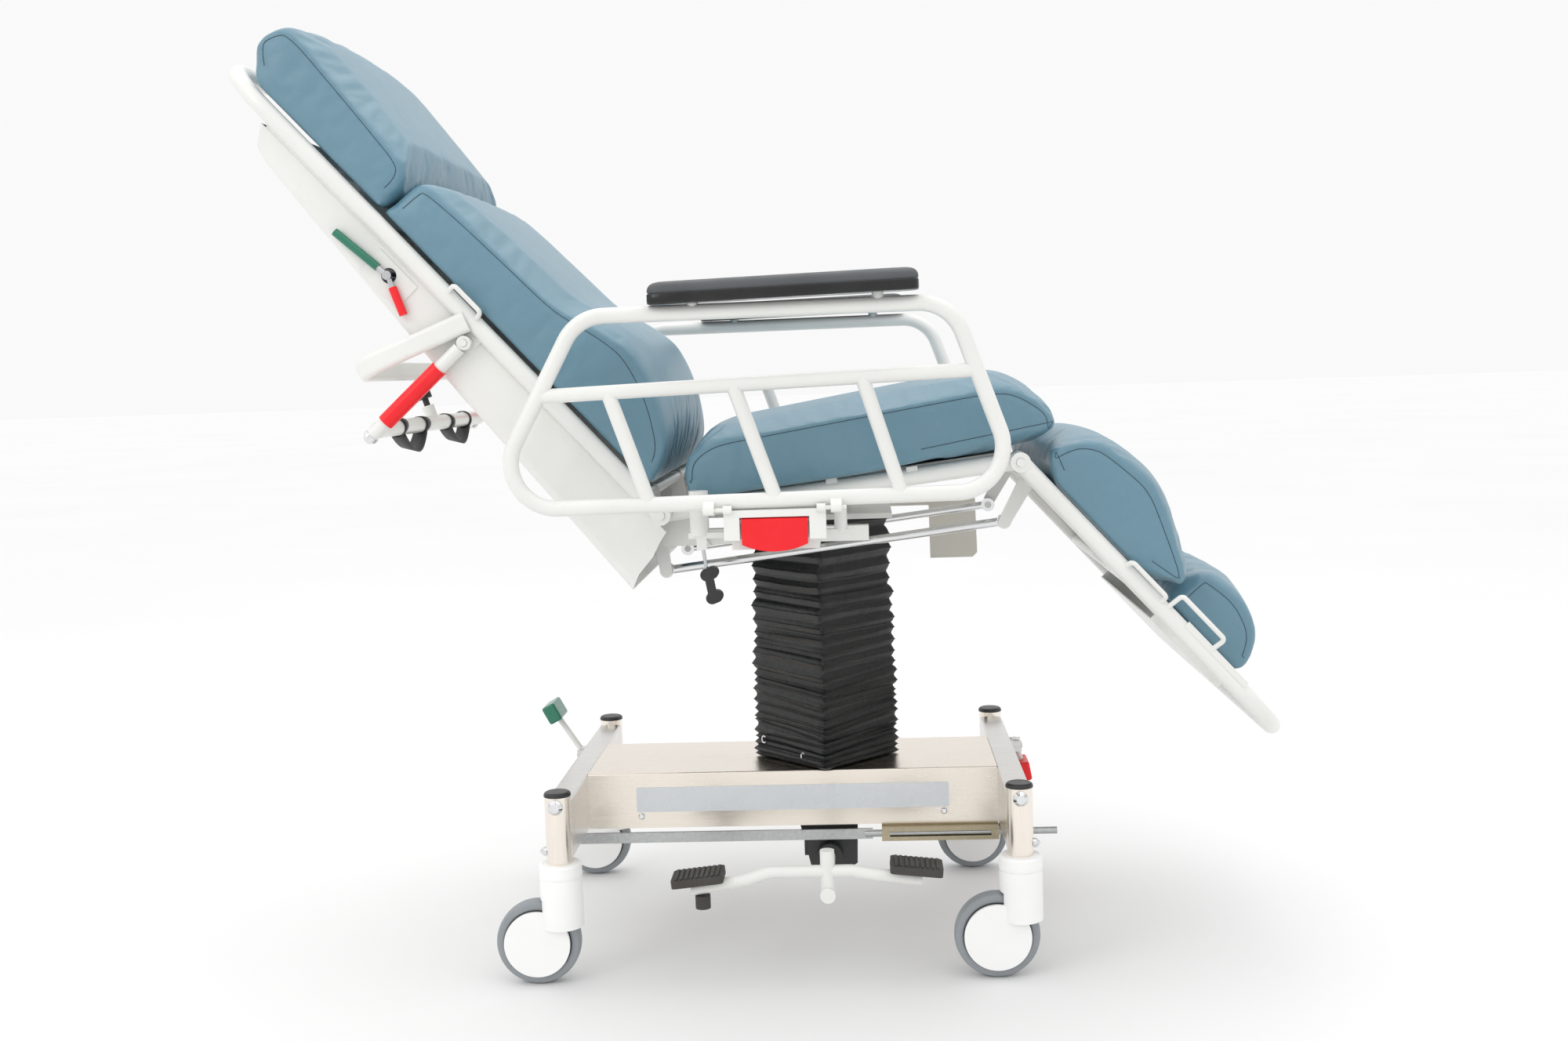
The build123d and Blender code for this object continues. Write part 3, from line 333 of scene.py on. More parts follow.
# nodes whose brush lines run differently from those of their material slot
node_finish = {
    "corner_posts": "stainless_post",
    "base_frame": "stainless_top",
}
for entry in frame["record"]["subparts"]:
    shown = nodes[entry["node"]]
    wanted = node_finish.get(entry["node"], entry["material_slot"])
    shown.data.materials.clear()
    shown.data.materials.append(finish[wanted])


# ---------------------------------------------------------------- mesh kit
def new_object(name, mesh):
    made = bpy.data.objects.new(name, mesh)
    bpy.context.scene.collection.objects.link(made)
    return made


def mesh_object(name, verts, faces, materials, face_slots=None, smooth=True):
    """One object from lists; face_slots is the material number of each face."""
    mesh = bpy.data.meshes.new(name)
    mesh.from_pydata([tuple(v) for v in verts], [], faces)
    for material in materials:
        mesh.materials.append(material)
    if face_slots is not None:
        mesh.polygons.foreach_set("material_index", face_slots)
    mesh.validate()
    bm = bmesh.new()
    bm.from_mesh(mesh)
    bmesh.ops.recalc_face_normals(bm, faces=bm.faces)
    bm.to_mesh(mesh)
    bm.free()
    mesh.polygons.foreach_set("use_smooth", [smooth] * len(mesh.polygons))
    return new_object(name, mesh)


def applied(obj):
    """Puts the modifiers' result in the mesh and leaves none on the object."""
    bpy.context.view_layer.update()
    graph = bpy.context.evaluated_depsgraph_get()
    mesh = bpy.data.meshes.new_from_object(obj.evaluated_get(graph), depsgraph=graph)
    obj.modifiers.clear()
    obj.data = mesh
    return obj


def subdivided(obj):
    modifier = obj.modifiers.new("subdivision", "SUBSURF")
    modifier.levels = 1
    modifier.render_levels = 1
    applied(obj)
    obj.data.polygons.foreach_set("use_smooth", [True] * len(obj.data.polygons))
    return obj


def rounded(points, wide, low_radius, low):
    """A closed outline with corners rounded to wide, or to low_radius for the corners below low."""
    steps = 6
    out = []
    count = len(points)
    for i, corner in enumerate(points):
        here = Vector(corner)
        radius = low_radius if corner[1] < low else wide
        before = Vector(points[i - 1]) - here
        after = Vector(points[(i + 1) % count]) - here
        reach_in = min(radius, 0.45 * before.length)
        reach_out = min(radius, 0.45 * after.length)
        a = here + before.normalized() * reach_in
        b = here + after.normalized() * reach_out
        for step in range(steps + 1):
            t = step / steps
            out.append((1 - t) ** 2 * a + 2 * t * (1 - t) * here + t ** 2 * b)
    return out


def evened(points, spacing, closed=True):
    """The same line with its points at even distances."""
    line = list(points) + ([points[0]] if closed else [])
    lengths = [0.0]
    for a, b in zip(line, line[1:]):
        lengths.append(lengths[-1] + (b - a).length)
    count = max(4, round(lengths[-1] / spacing))
    out = []
    seg = 0
    for i in range(count if closed else count + 1):
        want = lengths[-1] * i / count
        while seg < len(line) - 2 and lengths[seg + 1] < want:
            seg += 1
        size = max(1e-9, lengths[seg + 1] - lengths[seg])
        out.append(line[seg].lerp(line[seg + 1], (want - lengths[seg]) / size))
    return out


def inset(points, amount):
    """A closed outline moved inwards by amount; it may run either way round."""
    count = len(points)
    area = sum(points[i - 1].x * points[i].y - points[i].x * points[i - 1].y for i in range(count))
    turn = 1 if area > 0 else -1
    out = []
    for i in range(count):
        along = (points[(i + 1) % count] - points[i - 1]).normalized()
        out.append(points[i] + Vector((-along.y, along.x)) * amount * turn)
    return out


def strip_faces(rows, across, closed=False):
    """Quads between rows of across points each; closed joins the last row to the first."""
    faces = []
    for i in range(rows if closed else rows - 1):
        j = (i + 1) % rows
        for k in range(across):
            n = (k + 1) % across
            faces.append((i * across + k, i * across + n, j * across + n, j * across + k))
    return faces


def end_faces(rows, across):
    """The two faces that close a strip's first and last rows."""
    last = (rows - 1) * across
    return [tuple(range(across))[::-1], tuple(last + k for k in range(across))]


def tube(route, radius, sides):
    """Vertices and faces of a round tube along a 3-D route."""
    verts = []
    count = len(route)
    side = None
    for i, here in enumerate(route):
        ahead = route[i + 1] if i < count - 1 else here
        behind = route[i - 1] if i > 0 else here
        along = (ahead - behind).normalized()
        if side is None:
            side = along.orthogonal().normalized()
        side = (side - along * side.dot(along)).normalized()
        other = along.cross(side)
        for k in range(sides):
            angle = 2 * math.pi * k / sides
            verts.append(here + (side * math.cos(angle) + other * math.sin(angle)) * radius)
    return verts, strip_faces(count, sides) + end_faces(count, sides)


def merged(name, parts, materials):
    """One object from several (vertices, faces, material number) parts."""
    verts = []
    faces = []
    slots = []
    for part_verts, part_faces, number in parts:
        start = len(verts)
        verts.extend(part_verts)
        faces.extend(tuple(i + start for i in face) for face in part_faces)
        slots.extend([number] * len(part_faces))
    return mesh_object(name, verts, faces, materials, slots)


def lathe(profile, centre, axis, segments):
    """Vertices and faces of a closed (along, radius) profile turned round an axis."""
    along = Vector(axis).normalized()
    side = along.orthogonal().normalized()
    other = along.cross(side)
    verts = []
    for i in range(segments):
        angle = 2 * math.pi * i / segments
        out = side * math.cos(angle) + other * math.sin(angle)
        verts.extend(centre + along * a + out * r for a, r in profile)
    return verts, strip_faces(segments, len(profile), closed=True)


# ---------------------------------------------------------------- upholstery
seam_inset = 18 * mm                # from the panel's outline to its seam
seam_above_bottom = 22              # the seam stops this far above the cushion's bottom, in mm
edge_round = 15 * mm                # the side edges' rounding
cover_slack = 4 * mm                # the cover is cut this much inside its CAD solid, and swells out again
corner_radius, bottom_radius = 26 * mm, 5 * mm
swell_pressure, swell_cap, swell_frames = 3.2, 9 * mm, 20
fine_voxel, quick_voxel = 6 * mm, 9 * mm
outline_spacing, seam_spacing = 6 * mm, 4 * mm
tuck_height, side_height = 20 * mm, 24 * mm     # above these the slack and the edge rounding are whole
held_height, seam_hold, side_depth = 6 * mm, 5 * mm, 6 * mm     # what the swelling holds still
crown_power, rise_power = 2.4, 1.5              # the crown's fall across the cushion and down its sides
thread_radius = 0.55 * mm


def ease(share):
    """A smooth step from 0 to 1."""
    share = min(1.0, max(0.0, share))
    return share * share * (3 - 2 * share)


def mesh_tree(obj):
    corners = [v.co for v in obj.data.vertices]
    return BVHTree.FromPolygons(corners, [tuple(p.vertices) for p in obj.data.polygons])


def inflated(obj, held):
    """Swells a closed mesh by cloth simulation, by swell_cap at most. held is each vertex's pin weight."""
    start = [v.co.copy() for v in obj.data.vertices]
    pins = obj.vertex_groups.new(name="held")
    for i, weight in enumerate(held):
        if weight > 0:
            pins.add([i], weight, "REPLACE")
    cloth = obj.modifiers.new("swell", "CLOTH")
    settings = cloth.settings
    settings.quality = 4
    settings.mass = 0.3
    settings.vertex_group_mass = "held"
    settings.use_pressure = True
    settings.uniform_pressure_force = swell_pressure
    settings.shrink_min = -0.012
    settings.effector_weights.gravity = 0
    cloth.collision_settings.use_collision = False
    cloth.point_cache.frame_start = 1
    cloth.point_cache.frame_end = swell_frames
    for number in range(1, swell_frames + 1):
        bpy.context.scene.frame_set(number)
    applied(obj)
    bpy.context.scene.frame_set(1)
    for vertex, was in zip(obj.data.vertices, start):
        move = vertex.co - was
        if move.length > swell_cap:
            vertex.co = was + move.normalized() * swell_cap


def relaxed(obj):
    modifier = obj.modifiers.new("relax", "SMOOTH")
    modifier.factor = 0.5
    modifier.iterations = 2
    applied(obj)


def pin_weights(obj, view, seam_line, bottom, inner):
    """The cover is held at its bottom and along the seams of its side panels."""
    held = []
    for vertex in obj.data.vertices:
        u, v = view.local(vertex.co)
        if v < bottom + held_height:
            held.append(1.0)
            continue
        near = 1.0
        if abs(vertex.co.y) > inner - side_depth:
            near = min((Vector((u, v)) - p).length for p in seam_line)
        held.append(1.0 if near < seam_hold else 0.0)
    return held


def cushion(name, view, outline, half_width, bottom, crown, seam_points):
    """A boxed cushion: outline in the section's side view, seams on both sides, swollen by simulation."""
    corners = [(u * mm, v * mm) for u, v in outline]
    shape = evened(rounded(corners, corner_radius, bottom_radius, bottom + 8 * mm), outline_spacing)
    top = max(p.y for p in shape)
    tucked = inset(shape, cover_slack)
    base = [p + (q - p) * ease((p.y - bottom) / tuck_height) for p, q in zip(shape, tucked)]
    inner = half_width - cover_slack
    edge_steps, middle_steps = 5, 30

    def drawn_in(y):
        """How far the outline is drawn in at y, on the quarter round of the side edge."""
        share = (abs(y) - inner + edge_round) / edge_round
        return edge_round - edge_round * math.sqrt(max(0, 1 - share ** 2))

    rows = sorted(-(inner - edge_round + edge_round * math.cos(math.pi / 2 * step / edge_steps))
                  for step in range(edge_steps))
    flat = inner - edge_round
    sections = [(y, drawn_in(y)) for y in rows]
    sections += [(-flat + flat * 2 * i / middle_steps, 0.0) for i in range(middle_steps + 1)]
    sections += [(-y, drawn_in(y)) for y in reversed(rows)]
    kept = []
    for y, amount in sections:
        if not kept or y - kept[-1][0] > 0.5 * mm:
            kept.append((y, amount))
    verts = []
    for y, amount in kept:
        full = inset(base, amount)
        ring = [p + (q - p) * (0.25 + 0.75 * ease((p.y - bottom) / side_height)) for p, q in zip(base, full)]
        swell = crown * max(0.0, 1 - (abs(y) / half_width) ** crown_power)
        for p in ring:
            share = max(0.0, (p.y - bottom) / (top - bottom)) ** rise_power
            verts.append(view.point(p.x, p.y + swell * share, y))
    faces = strip_faces(len(kept), len(base)) + end_faces(len(kept), len(base))
    obj = mesh_object(name, verts, faces, [finish["vinyl"], finish["thread"]])
    remesh = obj.modifiers.new("remesh", "REMESH")
    remesh.mode = "VOXEL"
    remesh.voxel_size = fine_voxel
    applied(obj)
    seam_line = evened([Vector((u * mm, v * mm)) for u, v in seam_points], seam_spacing, closed=False)
    inflated(obj, pin_weights(obj, view, seam_line, bottom, inner))
    relaxed(obj)
    subdivided(obj)
    groove(obj, view, seam_line, half_width)
    stitched(obj, view, seam_line, half_width)
    return obj


def groove(obj, view, line, half_width):
    """Sinks the panels a little along the seam on both sides, with small puckers beside it."""
    depth, reach, pucker_depth, side_band = 1.3 * mm, 5 * mm, 0.45 * mm, 22 * mm
    for vertex in obj.data.vertices:
        y = vertex.co.y
        if abs(y) < half_width - side_band:
            continue
        u, v = view.local(vertex.co)
        here = Vector((u, v))
        best, index = min(((here - p).length, i) for i, p in enumerate(line))
        side = 1 if y > 0 else -1
        if best < 3 * reach:
            sink = depth * math.exp(-((best / reach) ** 2))
            wave = math.sin(index * 0.9 + side) * math.sin(index * 0.37)
            pucker = pucker_depth * wave * math.exp(-((best - reach) / reach) ** 2)
            vertex.co.y -= side * (sink + pucker)
    obj.data.update()


def stitched(obj, view, line, half_width):
    """Adds the seam's dark thread on both sides, laid on the swollen surface."""
    tree = mesh_tree(obj)
    verts = [v.co.copy() for v in obj.data.vertices]
    faces = [tuple(p.vertices) for p in obj.data.polygons]
    slots = [0] * len(faces)
    fine = evened(line, 2.5 * mm, closed=False)
    for side in (-1, 1):
        route = []
        for p in fine:
            origin = view.point(p.x, p.y, side * (half_width + 40 * mm))
            hit = tree.ray_cast(origin, Vector((0, -side, 0)), 0.08)[0]
            if hit is not None:
                route.append(hit + Vector((0, side * 0.15 * mm, 0)))
        for start in range(0, len(route) - 2, 2):
            piece_verts, piece_faces = tube(route[start:start + 3], thread_radius, 5)
            base = len(verts)
            verts.extend(piece_verts)
            faces.extend(tuple(i + base for i in face) for face in piece_faces)
            slots.extend([1] * len(piece_faces))
    mesh = bpy.data.meshes.new(obj.name)
    mesh.from_pydata([tuple(v) for v in verts], [], faces)
    for material in obj.data.materials:
        mesh.materials.append(material)
    mesh.polygons.foreach_set("material_index", slots)
    mesh.polygons.foreach_set("use_smooth", [True] * len(faces))
    obj.data = mesh


def seam_of(outline, lowest):
    """The seam's points: the outline moved inwards, from one low corner over the top to the other."""
    corners = [(u * mm, v * mm) for u, v in outline]
    points = evened(rounded(corners, 30 * mm, bottom_radius, lowest * mm), seam_spacing)
    moved = inset(points, seam_inset)
    kept = [p for p in moved if p.y > lowest * mm]
    # turn the list so that it begins after the gap along the bottom
    gaps = [(kept[i] - kept[i - 1]).length for i in range(len(kept))]
    begin = gaps.index(max(gaps))
    line = kept[begin:] + kept[:begin]
    return [(p.x / mm, p.y / mm) for p in line]


# outlines in the side view of their section, and heights, all in mm
cushions = {
    "back_upholstery": {
        "view": back_view, "node": "back_cushion", "body": "back", "crown": 16, "bottom": 18,
        "outline": [(579, 18), (575, 84), (560, 97), (497, 103), (402, 107), (316, 110), (280, 119), (244, 129),
                    (199, 136), (149, 124), (104, 104), (55, 72), (38, 28), (46, 17)],
    },
    "head_upholstery": {
        "view": back_view, "node": "head_cushion", "body": "back", "crown": 14, "bottom": 18,
        "outline": [(581, 18), (579, 71), (600, 96), (700, 105), (821, 114), (853, 110), (868, 92), (877, 64),
                    (865, 43), (828, 16)],
    },
    "seat_upholstery": {
        "view": seat_view, "node": "seat_cushion", "body": "seat", "crown": 12, "bottom": 16,
        "outline": [(31, 28), (37, 71), (60, 92), (92, 104), (290, 112), (482, 119), (523, 112), (572, 72),
                    (574, 32), (290, 15), (60, 15)],
    },
    "leg_upholstery": {
        "view": leg_view, "node": "leg_cushion", "body": "leg", "crown": 10, "bottom": 14,
        "outline": [(10, 32), (24, 80), (56, 107), (100, 114), (156, 119), (220, 93), (285, 64), (293, 43),
                    (278, 28), (208, 14), (60, 14)],
    },
    "foot_upholstery": {
        "view": leg_view, "node": "foot_cushion", "body": "foot", "crown": 10, "bottom": 15,
        "outline": [(298, 15), (298, 84), (318, 93), (373, 100), (430, 80), (457, 31), (440, 15)],
    },
}
upholstery = {}
for name, facts in cushions.items():
    low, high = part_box(facts["node"])
    piece = cushion(
        name, facts["view"], facts["outline"], high.y, facts["bottom"] * mm, facts["crown"] * mm,
        seam_of(facts["outline"], facts["bottom"] + seam_above_bottom))
    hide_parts(facts["node"])
    upholstery[name] = piece
    if name != "seat_upholstery":
        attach(piece, facts["body"])
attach(upholstery["seat_upholstery"], "seat")
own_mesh(upholstery["seat_upholstery"])


# ---------------------------------------------------------------- bellows
# one pleat from its lower fold to its upper one: share of the pleat's height, and depth in mm
pleat_profile = [(0.04, 6.8), (0.28, 3.2), (0.45, 2.4), (0.50, -0.8), (0.55, 2.4), (0.72, 3.0), (0.97, 6.8)]
lip_rows = (2, 3, 4)
pleats, points_per_side = 24, 14
skin_thickness = 0.9 * mm
hang, hang_level, hang_spread = 8 * mm, 0.30, 0.22   # the front hangs most at this share of the way up
ripple_height = 0.5 * mm
collar_share = 0.72                 # the size of the openings at both ends against the skin


def pleat_rings(low, high, half):
    """(height, reach, tilt, twist, shift, share of the way up) for each ring of points."""
    rings = []
    weights = [0.62 + 0.9 * (i / (pleats - 1)) ** 1.2 + chance.uniform(-0.12, 0.12) for i in range(pleats)]
    total = sum(weights)
    z = low.z
    for i, weight in enumerate(weights):
        step = (high.z - low.z) * weight / total
        upper = i / (pleats - 1)
        tilt = (chance.uniform(-1, 1) * 3.2 * mm, chance.uniform(-1, 1) * 2.4 * mm)
        twist = math.radians(chance.uniform(-1.1, 1.1)) * (1.4 - upper)
        shift = (chance.uniform(-1, 1) * 2.0 * mm, chance.uniform(-1, 1) * 1.6 * mm)
        out = half + 8.5 * mm - chance.uniform(0, 2.4) * mm - 9 * mm * upper ** 3
        if i in (0, pleats - 1):
            tilt = shift = (0.0, 0.0)
            twist = 0.0
        for share, depth in pleat_profile:
            rings.append((z + step * share, out - depth * mm, tilt, twist, shift, upper))
        z += step
    return rings


def bellows():
    """A square pleated skin, set cornerwise, whose pleats sag and lean a little differently."""
    low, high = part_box("bellows")
    centre = (low + high) / 2
    half = (high.y - low.y) / 2
    foot, head = low.z, high.z
    rings = pleat_rings(low, high, half)
    verts = []
    count = points_per_side * 4
    for index, (z, reach, tilt, twist, shift, upper) in enumerate(rings):
        pleat = index // len(pleat_profile)
        part = index % len(pleat_profile)
        fall = hang * math.exp(-(((upper - hang_level) / hang_spread) ** 2)) + 2.5 * mm
        if pleat in (0, pleats - 1):
            fall = 0.0
        if part == 0:
            sag = [chance.uniform(-2.6, 0.8) * mm for _ in range(4)]
            dent = [chance.uniform(-1.6, 2.4) * mm for _ in range(4)]
        for k in range(count):
            face = k // points_per_side
            t = (k % points_per_side) / points_per_side
            t = t - 0.09 * math.sin(2 * math.pi * t)
            a = Vector((math.cos(math.pi / 2 * face), math.sin(math.pi / 2 * face)))
            b = Vector((math.cos(math.pi / 2 * (face + 1)), math.sin(math.pi / 2 * (face + 1))))
            p = a.lerp(b, t)
            corner = min(t, 1 - t)
            flat = 4 * t * (1 - t)
            length = reach * (1 - 0.012 * math.exp(-((corner / 0.03) ** 2)))
            out = p * length - p.normalized() * dent[face] * flat * (1 if part in lip_rows else 0.5)
            out = Matrix.Rotation(twist, 2) @ out
            ripple = ripple_height * math.sin(k * 1.7 + pleat * 2.1) * (1 if part in lip_rows else 0.3)
            front = max(0.0, -out.y / reach)
            height = z + sag[face] * flat * 0.8 + ripple - fall * front ** 1.5
            height += tilt[0] * out.x / half + tilt[1] * out.y / half
            height = min(max(height, foot + 0.5 * mm), head - 0.5 * mm)
            verts.append(Vector((centre.x + out.x + shift[0], centre.y + out.y + shift[1], height)))
    faces = strip_faces(len(rings), count)
    # the open ends turn in under the flanges
    for first in (0, (len(rings) - 1) * count):
        rim = len(verts)
        for k in range(count):
            p = verts[first + k]
            x = centre.x + (p.x - centre.x) * collar_share
            verts.append(Vector((x, centre.y + (p.y - centre.y) * collar_share, p.z)))
        for k in range(count):
            n = (k + 1) % count
            faces.append((first + k, first + n, rim + n, rim + k))
    obj = mesh_object("bellows_skin", verts, faces, [finish["bellows"]])
    thick = obj.modifiers.new("thickness", "SOLIDIFY")
    thick.thickness = skin_thickness
    applied(obj)
    subdivided(obj)
    return obj


skin = bellows()
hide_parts("bellows")
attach(skin, "base")
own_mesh(skin)


def eyelets():
    """Two pale tie ends low on the side of the bellows that faces the pedal side and the head end."""
    low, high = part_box("bellows")
    centre = (low + high) / 2
    half = (high.y - low.y) / 2
    parts = []
    ring_steps, ring_half_width, ring_half_height = 14, 4.5 * mm, 5.5 * mm
    for share, lift in ((0.14, 0.030), (0.70, 0.016)):
        p = Vector((-half, 0)).lerp(Vector((0, -half)), share) * 1.035
        out = Vector((-1, -1, 0)).normalized()
        side = Vector((1, -1, 0)).normalized()
        middle = Vector((centre.x + p.x, centre.y + p.y, low.z + lift)) + out * 1.5 * mm
        route = []
        for k in range(ring_steps + 1):
            angle = math.radians(40 + 280 * k / ring_steps)
            rise = Vector((0, 0, ring_half_height * math.sin(angle)))
            route.append(middle + side * ring_half_width * math.cos(angle) + rise)
        verts, faces = tube(route, 1.0 * mm, 8)
        parts.append((verts, faces, 0))
    return merged("bellows_ties", parts, [finish["caster_white"]])


ties = eyelets()
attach(ties, "base")


# ---------------------------------------------------------------- casters
def caster_wheel(name, node):
    """A tyre with a rounded tread on a dished disc with a hub."""
    low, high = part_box(node)
    centre = (low + high) / 2
    radius = (high.z - low.z) / 2
    half = (high.y - low.y) / 2
    tread_steps, segments = 12, 96
    tread_round, tyre_depth, hub_radius, bore_radius = 5 * mm, 13 * mm, 12 * mm, 6.5 * mm
    tread = []
    for step in range(tread_steps + 1):
        angle = math.pi * (step / tread_steps - 0.5)
        tread_radius = radius - tread_round + tread_round * math.cos(angle) ** 0.6
        tread.append((half * 0.98 * math.sin(angle) * 0.92, tread_radius))
    inner = radius - tyre_depth
    profile = [(-half * 0.90, inner), (-half * 0.96, radius - 10 * mm)] + tread
    profile += [(half * 0.96, radius - 10 * mm), (half * 0.90, inner), (half * 0.5, inner - 1 * mm),
                (-half * 0.5, inner - 1 * mm)]
    tyre_verts, tyre_faces = lathe(profile, centre, (0, 1, 0), segments)
    rim = [(-half * 0.84, inner + 0.4 * mm), (-half * 0.84, inner - 5 * mm), (-half * 0.55, inner - 8 * mm),
           (-half * 0.5, 14 * mm), (-half * 0.95, hub_radius), (-half * 0.95, bore_radius)]
    rim += [(-y, reach) for y, reach in reversed(rim)]
    rim_verts, rim_faces = lathe(rim, centre, (0, 1, 0), segments)
    parts = [(tyre_verts, tyre_faces, 0), (rim_verts, rim_faces, 1)]
    return merged(name, parts, [finish["tyre"], finish["black_plastic"]])


for end in ("head", "foot"):
    for side in ("near", "far"):
        wheel = caster_wheel(f"tyre_{end}_{side}", f"wheel_{end}_{side}")
        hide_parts(f"wheel_{end}_{side}")
        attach(wheel, f"roller_{end}_{side}")


# ---------------------------------------------------------------- arm pads
pad_slope = 0.0245                  # the pads rise this much per length towards the foot end
pad_points = 128
# from the skirt's bottom to the crowned top: inset in mm, share of the height, 1 for the skirt's material
pad_levels = [
    (3.5, 0.0, 1), (0.6, 0.02, 1), (0.2, 0.08, 1), (0.2, 0.42, 1), (0.8, 0.46, 1), (1.7, 0.475, 1),
    (1.7, 0.50, 0), (0.9, 0.52, 0), (0.6, 0.60, 0), (1.6, 0.74, 0), (4.2, 0.86, 0), (8.5, 0.94, 0),
    (15, 0.985, 0), (24, 1.0, 0), (30, 1.0, 0),
]


def arm_pad(name, node):
    """A moulded pad: a glossy skirt below and a textured crowned top."""
    low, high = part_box(node)
    length = high.x - low.x
    middle_y = (low.y + high.y) / 2
    half_y = (high.y - low.y) / 2
    height = high.z - low.z - pad_slope * length
    verts = []
    for inset_mm, level, _ in pad_levels:
        half_x = length / 2 - inset_mm * mm
        half_w = half_y - inset_mm * mm
        for k in range(pad_points):
            angle = 2 * math.pi * k / pad_points
            c, s = math.cos(angle), math.sin(angle)
            x = (low.x + high.x) / 2 + math.copysign(abs(c) ** 0.22, c) * half_x
            y = middle_y + math.copysign(abs(s) ** 0.34, s) * half_w
            verts.append(Vector((x, y, low.z + pad_slope * (x - low.x) + level * height)))
    faces = strip_faces(len(pad_levels), pad_points) + end_faces(len(pad_levels), pad_points)
    slots = [slot for _, _, slot in pad_levels[1:] for _ in range(pad_points)] + [1, 0]
    return mesh_object(name, verts, faces, [finish["arm_pad"], finish["arm_skirt"]], slots)


for side in ("near", "far"):
    pad = arm_pad(f"arm_rest_{side}", f"arm_pad_{side}")
    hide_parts(f"arm_pad_{side}")
    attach(pad, f"rail_{side}")


# ---------------------------------------------------------------- pan flange
flange_from, flange_to, flange_steps = 24, 778, 60
flange_low_y, flange_high_y = 282.6 * mm, 284.6 * mm
flange_section = [(-21, flange_low_y), (-21, flange_high_y), (-9.5, flange_high_y),
                  (-8.5, flange_high_y - 1 * mm), (-8.5, flange_low_y)]


def flange_strip(side):
    """The folded upper edge of the back pan, which closes it against the frame tube."""
    verts = []
    for i in range(flange_steps + 1):
        u = (flange_from + (flange_to - flange_from) * i / flange_steps) * mm
        for v, y in flange_section:
            verts.append(back_view.point(u, v * mm, side * y))
    rows, across = flange_steps + 1, len(flange_section)
    last = (rows - 1) * across
    ends = [tuple(range(across)), tuple(last + k for k in reversed(range(across)))]
    return verts, ends + strip_faces(rows, across), 0


flange = merged("pan_flange", [flange_strip(-1), flange_strip(1)], [finish["frame_white"]])
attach(flange, "back")


# ---------------------------------------------------------------- webbing bands
band_half, band_thick, band_points = 13 * mm, 1.6 * mm, 48
strap_width, strap_thick, strap_steps = 22 * mm, 2.4 * mm, 28
strap_drop, strap_sway, strap_lean = 24 * mm, 3 * mm, 6 * mm
band_section = [(-band_half, 0), (-band_half, band_thick), (band_half, band_thick), (band_half, 0)]
band_gap = 8 * mm                   # edges further apart than this belong to different bands


def band_loop(y, middle, radius, turn):
    """One loose webbing loop hanging round the handle's cross tube."""
    verts = []
    for k in range(band_points):
        angle = 2 * math.pi * k / band_points
        wobble = 1 + 0.05 * math.sin(2 * angle + turn) + 0.03 * math.sin(3 * angle)
        reach = radius * wobble
        for edge_y, out in band_section:
            r = reach - band_thick + out - 0.8 * mm
            lean = 0.25 * edge_y * math.sin(angle + turn)
            x, z = middle.x + r * math.cos(angle), middle.z + r * math.sin(angle)
            verts.append(Vector((x, y + edge_y * 0.5 + lean, z)))
    return verts, strip_faces(band_points, 4, closed=True), 0


def hanging_strap(y_from, y_to, middle, radius):
    """A slack webbing length that hangs between two bands on the cross tube."""
    verts = []
    for i in range(strap_steps + 1):
        t = i / strap_steps
        y = y_from + (y_to - y_from) * t
        sag = strap_drop * (1 - (2 * t - 1) ** 2)
        z = middle.z - radius - sag + 2.5 * mm
        sway = strap_sway * math.sin(math.pi * t)
        for across, up in ((-0.5, 0), (0.5, 0), (0.5, 1), (-0.5, 1)):
            rise = z + up * strap_thick - strap_lean * across * math.sin(math.pi * t)
            verts.append(Vector((middle.x + across * strap_width + sway, y, rise)))
    rows = strap_steps + 1
    last = strap_steps * 4
    ends = [(0, 1, 2, 3), (last + 3, last + 2, last + 1, last)]
    return verts, ends + strip_faces(rows, 4), 0


low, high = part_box("strap_bands")
tube_centre = (low + high) / 2
tube_radius = (high.z - low.z) / 2
levels_y = sorted({round(v.co.y, 4) for v in nodes["strap_bands"].data.vertices})
groups = [[levels_y[0]]]
for value in levels_y[1:]:
    if value - groups[-1][-1] > band_gap:
        groups.append([])
    groups[-1].append(value)
middles = [(start[0] + end[-1]) / 2 for start, end in zip(groups[0::2], groups[1::2])]
loops = [band_loop(y, tube_centre, tube_radius, number * 1.3) for number, y in enumerate(middles)]
for y_from, y_to in zip(middles[0::2], middles[1::2]):
    loops.append(hanging_strap(y_from, y_to, tube_centre, tube_radius))
bands = merged("webbing_bands", loops, [finish["strap"]])
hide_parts("strap_bands")
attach(bands, "handle")


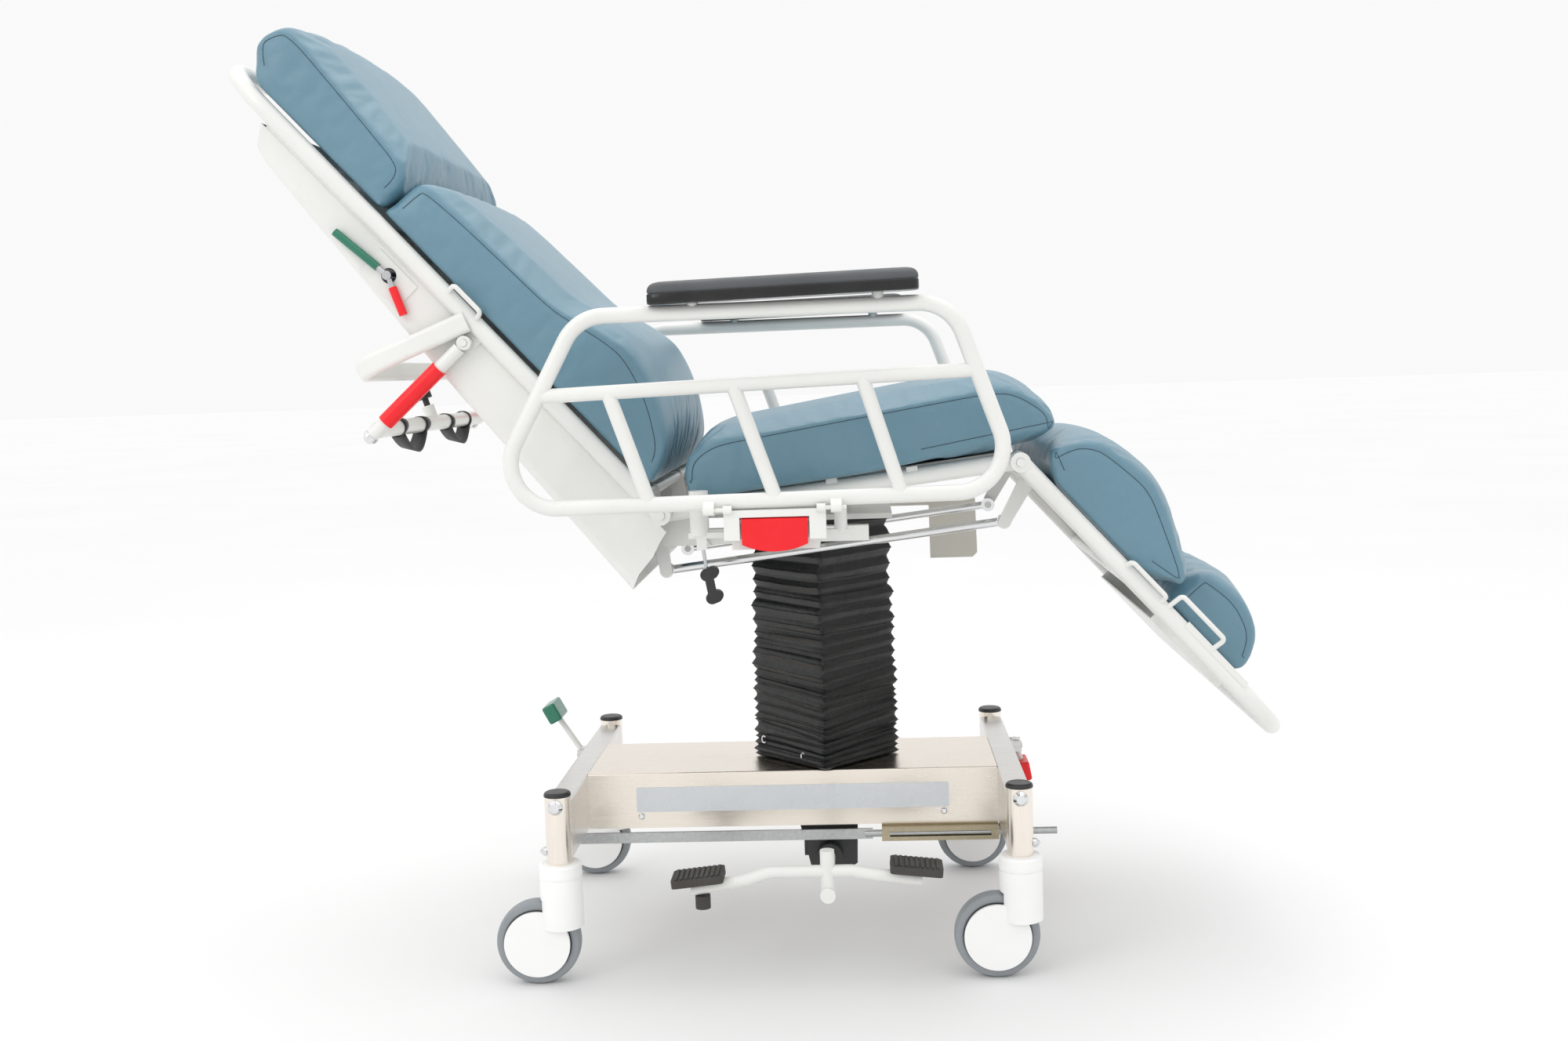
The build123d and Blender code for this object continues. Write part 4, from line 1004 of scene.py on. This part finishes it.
# ---------------------------------------------------------------- floor, light and camera
floor_material = Paint("floor_pale")
floor_cloud = floor_material.span(floor_material.noise(0.6), 0.3, 0.7)
floor_tone = floor_material.mix(floor_cloud, (0.80, 0.80, 0.80, 1), (0.82, 0.82, 0.82, 1))
floor_material.finish(floor_tone, floor_material.span(floor_material.noise(2), 0, 1, 0.55, 0.7))
floor_reach = 60.0
floor_quarters = ((-1, -1), (1, -1), (1, 1), (-1, 1))
floor_corners = [Vector((x * floor_reach, y * floor_reach, 0)) for x, y in floor_quarters]
floor = mesh_object("floor", floor_corners, [(0, 1, 2, 3)], [floor_material.material], smooth=False)

world = bpy.data.worlds.new("studio")
bpy.context.scene.world = world
world.use_nodes = True
background = world.node_tree.nodes["Background"]
background.inputs["Color"].default_value = (1.0, 1.0, 1.0, 1.0)
background.inputs["Strength"].default_value = 0.95


def softbox(name, place, target, size, power):
    """A rectangular lamp at place that faces target."""
    light = bpy.data.lights.new(name, "AREA")
    light.shape = "RECTANGLE"
    light.size, light.size_y = size
    light.energy = power
    obj = bpy.data.objects.new(name, light)
    bpy.context.scene.collection.objects.link(obj)
    obj.location = place
    obj.rotation_euler = (Vector(target) - Vector(place)).to_track_quat("-Z", "Y").to_euler()


softbox("overhead", (0.2, 0.3, 3.4), (0, 0, 0.7), (3.2, 2.4), 20)
sky = bpy.data.lights.new("sky", "SUN")
sky.energy = 0.75
sky.angle = math.radians(120)
bpy.context.scene.collection.objects.link(bpy.data.objects.new("sky", sky))
softbox("key", (-2.4, -2.6, 2.6), (0, 0, 0.8), (1.6, 1.6), 16)

scene = bpy.context.scene
scene.view_settings.view_transform = "Standard"
scene.view_settings.look = "None"
yaw, pitch, roll = math.radians(2.80), math.radians(-5.28), math.radians(1.86)
turn = Matrix.Rotation(yaw, 3, "Z") @ Matrix.Rotation(pitch, 3, "X") @ Matrix.Rotation(roll, 3, "Y")
right, ahead, above = turn.col
camera_place = (0.1461, -2.549, 0.887)
camera_data = bpy.data.cameras.new("camera")
camera_data.sensor_width = 36
camera_data.lens = 36.9
camera = bpy.data.objects.new("camera", camera_data)
scene.collection.objects.link(camera)
camera.matrix_world = Matrix((
    (right.x, above.x, -ahead.x, camera_place[0]),
    (right.y, above.y, -ahead.y, camera_place[1]),
    (right.z, above.z, -ahead.z, camera_place[2]),
    (0, 0, 0, 1)))
scene.camera = camera
